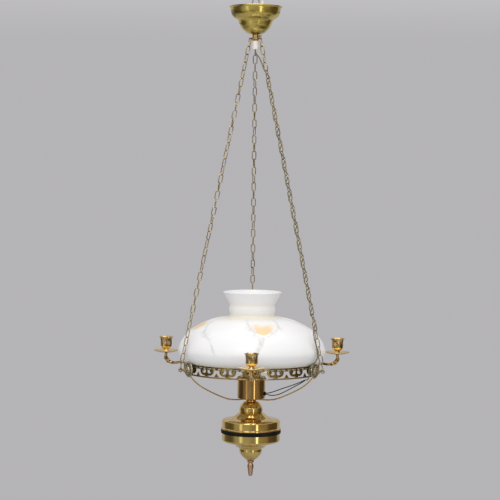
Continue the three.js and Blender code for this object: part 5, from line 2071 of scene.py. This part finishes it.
@dataclass
class Studio:
    """The pale room, its soft lamps and the camera. Sizes are in metres."""

    distance: float = 3.57
    eye_height: float = -0.362
    aim_height: float = -0.5290
    aim_side: float = -0.0062
    roll: float = 0.66
    lens: float = 122.9
    film: float = 36.0
    wall: float = 2.4
    floor: float = -2.5
    front: float = -2.2
    top: float = 3.5
    side: float = 3.2
    bend: float = 0.8
    grey: Colour = (0.462, 0.454, 0.468)
    # painted light: the upper part of the wall is painted brighter by this share, from one height to the
    # other
    glow: float = 0.27
    painted_light_heights: Pair = (0.06, 0.42)
    above: Colour = (0.75, 0.75, 0.76)
    above_slopes: Pair = (0.25, 0.75)
    under: Colour = (0.44, 0.43, 0.41)
    under_slopes: Pair = (-0.35, -0.8)
    fill: Colour = (0.79, 0.785, 0.785)
    lamp_colour: Colour = (1.0, 0.985, 0.96)
    lamp_aim: tuple[float, float, float] = (0.0, 0.0, -0.6)
    # the room that the brass mirrors: bearing from the camera in degrees, brightness and warmth
    bands: tuple[tuple[float, float, float], ...] = (
        (-90.0, 0.09, 0.3), (-76.0, 0.12, 0.3), (-64.0, 0.34, 0.1), (-47.0, 0.36, 0.05), (-43.0, 0.95, 0.0),
        (-37.0, 0.95, 0.0), (-33.0, 0.42, 0.05), (-12.0, 0.38, 0.05), (8.0, 0.27, 0.1), (20.0, 0.24, 0.1),
        (22.5, 2.4, 0.0), (26.5, 2.4, 0.0), (29.0, 0.3, 0.25), (46.0, 0.3, 0.4), (64.0, 0.26, 0.4),
        (78.0, 0.1, 0.4), (120.0, 0.08, 0.3), (150.0, 0.3, 0.0), (180.0, 0.46, 0.0), (215.0, 0.36, 0.0),
        (245.0, 0.12, 0.1), (270.0, 0.09, 0.3),
    )

    def backdrop(self) -> None:
        """Makes the floor and the wall as one sheet: flat, a quarter circle of the bend, then upright."""
        angle = np.linspace(0.0, np.pi / 2, 24)
        y = np.concatenate([[self.front], self.wall - self.bend + self.bend * np.sin(angle), [self.wall]])
        z = np.concatenate([[self.floor], self.floor + self.bend * (1 - np.cos(angle)), [self.top]])
        x = np.linspace(-self.side, self.side, 3)
        grid = np.stack([np.tile(x, len(y)), np.repeat(y, len(x)), np.repeat(z, len(x))], axis=1)
        number = np.arange(len(grid)).reshape(-1, len(x))
        faces = np.stack([number[:-1, :-1], number[:-1, 1:], number[1:, 1:], number[1:, :-1]], axis=-1)
        mesh = bpy.data.meshes.new("backdrop")
        mesh.from_pydata(grid.tolist(), [], faces.reshape(-1, 4).tolist())
        mesh.shade_smooth()
        mesh.materials.append(self.wall_paint())
        sheet = bpy.data.objects.new("backdrop", mesh)
        bpy.context.scene.collection.objects.link(sheet)

    def wall_paint(self) -> bpy.types.Material:
        """Makes the sheet's material.

        Its floor is matt and takes shadows, its upright part glows for rays from the camera, from
        mirrors and through glass, with painted light making it brighter towards the top, and it is clear from
        behind.

        Returns:
            The material.
        """
        made = bpy.data.materials.new("pale wall")
        made.use_nodes = True
        made.node_tree.nodes.clear()
        wires = Wires(made.node_tree)
        height = wires.split(wires.node("ShaderNodeTexCoord").outputs["Object"])["Z"]
        # painted light: the wall's glow rises towards the top
        level = wires.fused(wires.step(height, *self.painted_light_heights), self.glow, 1.0)
        scaled = wires.node("ShaderNodeVectorMath", {0: self.grey, "Scale": level}, operation="SCALE")
        plain = scaled.outputs[0]
        path = wires.node("ShaderNodeLightPath").outputs
        seen = wires.larger(path["Is Camera Ray"], path["Is Glossy Ray"])
        seen = wires.larger(seen, path["Is Transmission Ray"])
        matt = wires.node("ShaderNodeBsdfDiffuse", {"Color": plain}).outputs[0]
        glow = wires.node("ShaderNodeEmission", {"Color": plain, "Strength": 1.0}).outputs[0]
        upright = wires.step(height, self.floor + 0.1, self.floor + 0.9)
        mix = wires.node("ShaderNodeMixShader", {0: wires.times(seen, upright), 1: matt, 2: glow}).outputs[0]
        behind = wires.node("ShaderNodeNewGeometry").outputs["Backfacing"]
        clear = wires.node("ShaderNodeBsdfTransparent").outputs[0]
        sides = wires.node("ShaderNodeMixShader", {0: behind, 1: mix, 2: clear}).outputs[0]
        wires.node("ShaderNodeOutputMaterial", {"Surface": sides})
        return made

    def world(self) -> None:
        """Lights the room: metal mirrors a grey that changes with the bearing, between a pale ceiling and a
        darker floor, while matt surfaces and the camera meet plain greys."""
        world = bpy.data.worlds.new("room")
        bpy.context.scene.world = world
        world.use_nodes = True
        world.node_tree.nodes.clear()
        wires = Wires(world.node_tree)
        direction = wires.node("ShaderNodeTexCoord").outputs["Generated"]
        turn = wires.node("ShaderNodeTexGradient", {"Vector": direction}, gradient_type="RADIAL")
        ramp = wires.node("ShaderNodeValToRGB", {0: turn.outputs["Fac"]})
        for index, (bearing, level, warmth) in enumerate(self.bands):
            place = 0.25 + bearing / 360.0
            mark = ramp.color_ramp.elements[index] if index < 2 else ramp.color_ramp.elements.new(place)
            mark.position = place
            mark.color = (level, level * (1.0 - 0.5 * warmth), level * (1.0 - warmth), 1.0)
        height = wires.split(direction)["Z"]
        colour = wires.blend(wires.step(height, *self.above_slopes), ramp.outputs[0], rgba(self.above))
        colour = wires.blend(wires.step(height, *self.under_slopes), colour, rgba(self.under))
        path = wires.node("ShaderNodeLightPath").outputs
        colour = wires.blend(path["Is Diffuse Ray"], colour, rgba(self.fill))
        colour = wires.blend(path["Is Camera Ray"], colour, rgba(self.grey))
        back = wires.node("ShaderNodeBackground", {"Color": colour, "Strength": 1.0})
        wires.node("ShaderNodeOutputWorld", {"Surface": back.outputs[0]})

    def lamp(self, name: str, place: Sequence[float], size: Pair, power: float) -> None:
        """Places one soft box that faces the lamp's middle.

        Args:
            name: Its name.
            place: Where it stands, in metres.
            size: Its width and height, in metres.
            power: Its power, in watts.
        """
        light = bpy.data.lights.new(name, "AREA")
        light.shape = "RECTANGLE"
        light.size, light.size_y = size
        light.energy = power
        light.color = self.lamp_colour
        made = bpy.data.objects.new(name, light)
        made.location = place
        made.rotation_euler = (Vector(self.lamp_aim) - Vector(place)).to_track_quat("-Z", "Y").to_euler()
        bpy.context.scene.collection.objects.link(made)

    def camera(self) -> None:
        """Sets the camera at the photograph's viewing angle."""
        data = bpy.data.cameras.new("camera")
        data.lens, data.sensor_width = self.lens, self.film
        data.clip_start, data.clip_end = 0.05, 60.0
        made = bpy.data.objects.new("camera", data)
        place = Vector((0.0, -self.distance, self.eye_height))
        aim = Vector((self.aim_side, 0.0, self.aim_height))
        look = (aim - place).to_track_quat("-Z", "Y")
        made.rotation_mode = "QUATERNION"
        made.location = place
        made.rotation_quaternion = look @ Matrix.Rotation(math.radians(self.roll), 3, "Z").to_quaternion()
        bpy.context.scene.collection.objects.link(made)
        bpy.context.scene.camera = made

    def build(self) -> None:
        """Makes the room, the lamps and the camera."""
        bpy.context.scene.view_settings.view_transform = "Standard"
        self.backdrop()
        self.world()
        self.camera()
        self.lamp("front box", (-0.25, -2.1, 1.35), (1.9, 1.2), 27.0)
        self.lamp("top box", (0.2, 0.2, 2.1), (2.0, 2.0), 20.0)


def main() -> None:
    """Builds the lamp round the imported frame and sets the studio."""
    logging.basicConfig(level=logging.INFO, format="%(name)s: %(message)s")
    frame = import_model()
    paints = Paintbox()
    Studio().build()
    assemblies: list[SubAssembly] = [
        Flexes(paints),
        CeilingEnd(paints, frame),
        Chains(paints),
        GlassShade(paints),
        Gallery(paints),
        ChainEnds(paints),
        CandleArms(paints, frame),
        Burner(paints, frame),
        LowerBody(paints),
    ]
    for assembly in assemblies:
        LOG.info("building %s", type(assembly).__name__)
        assembly.build()
    bpy.context.view_layer.update()


if __name__ == "__main__":
    main()
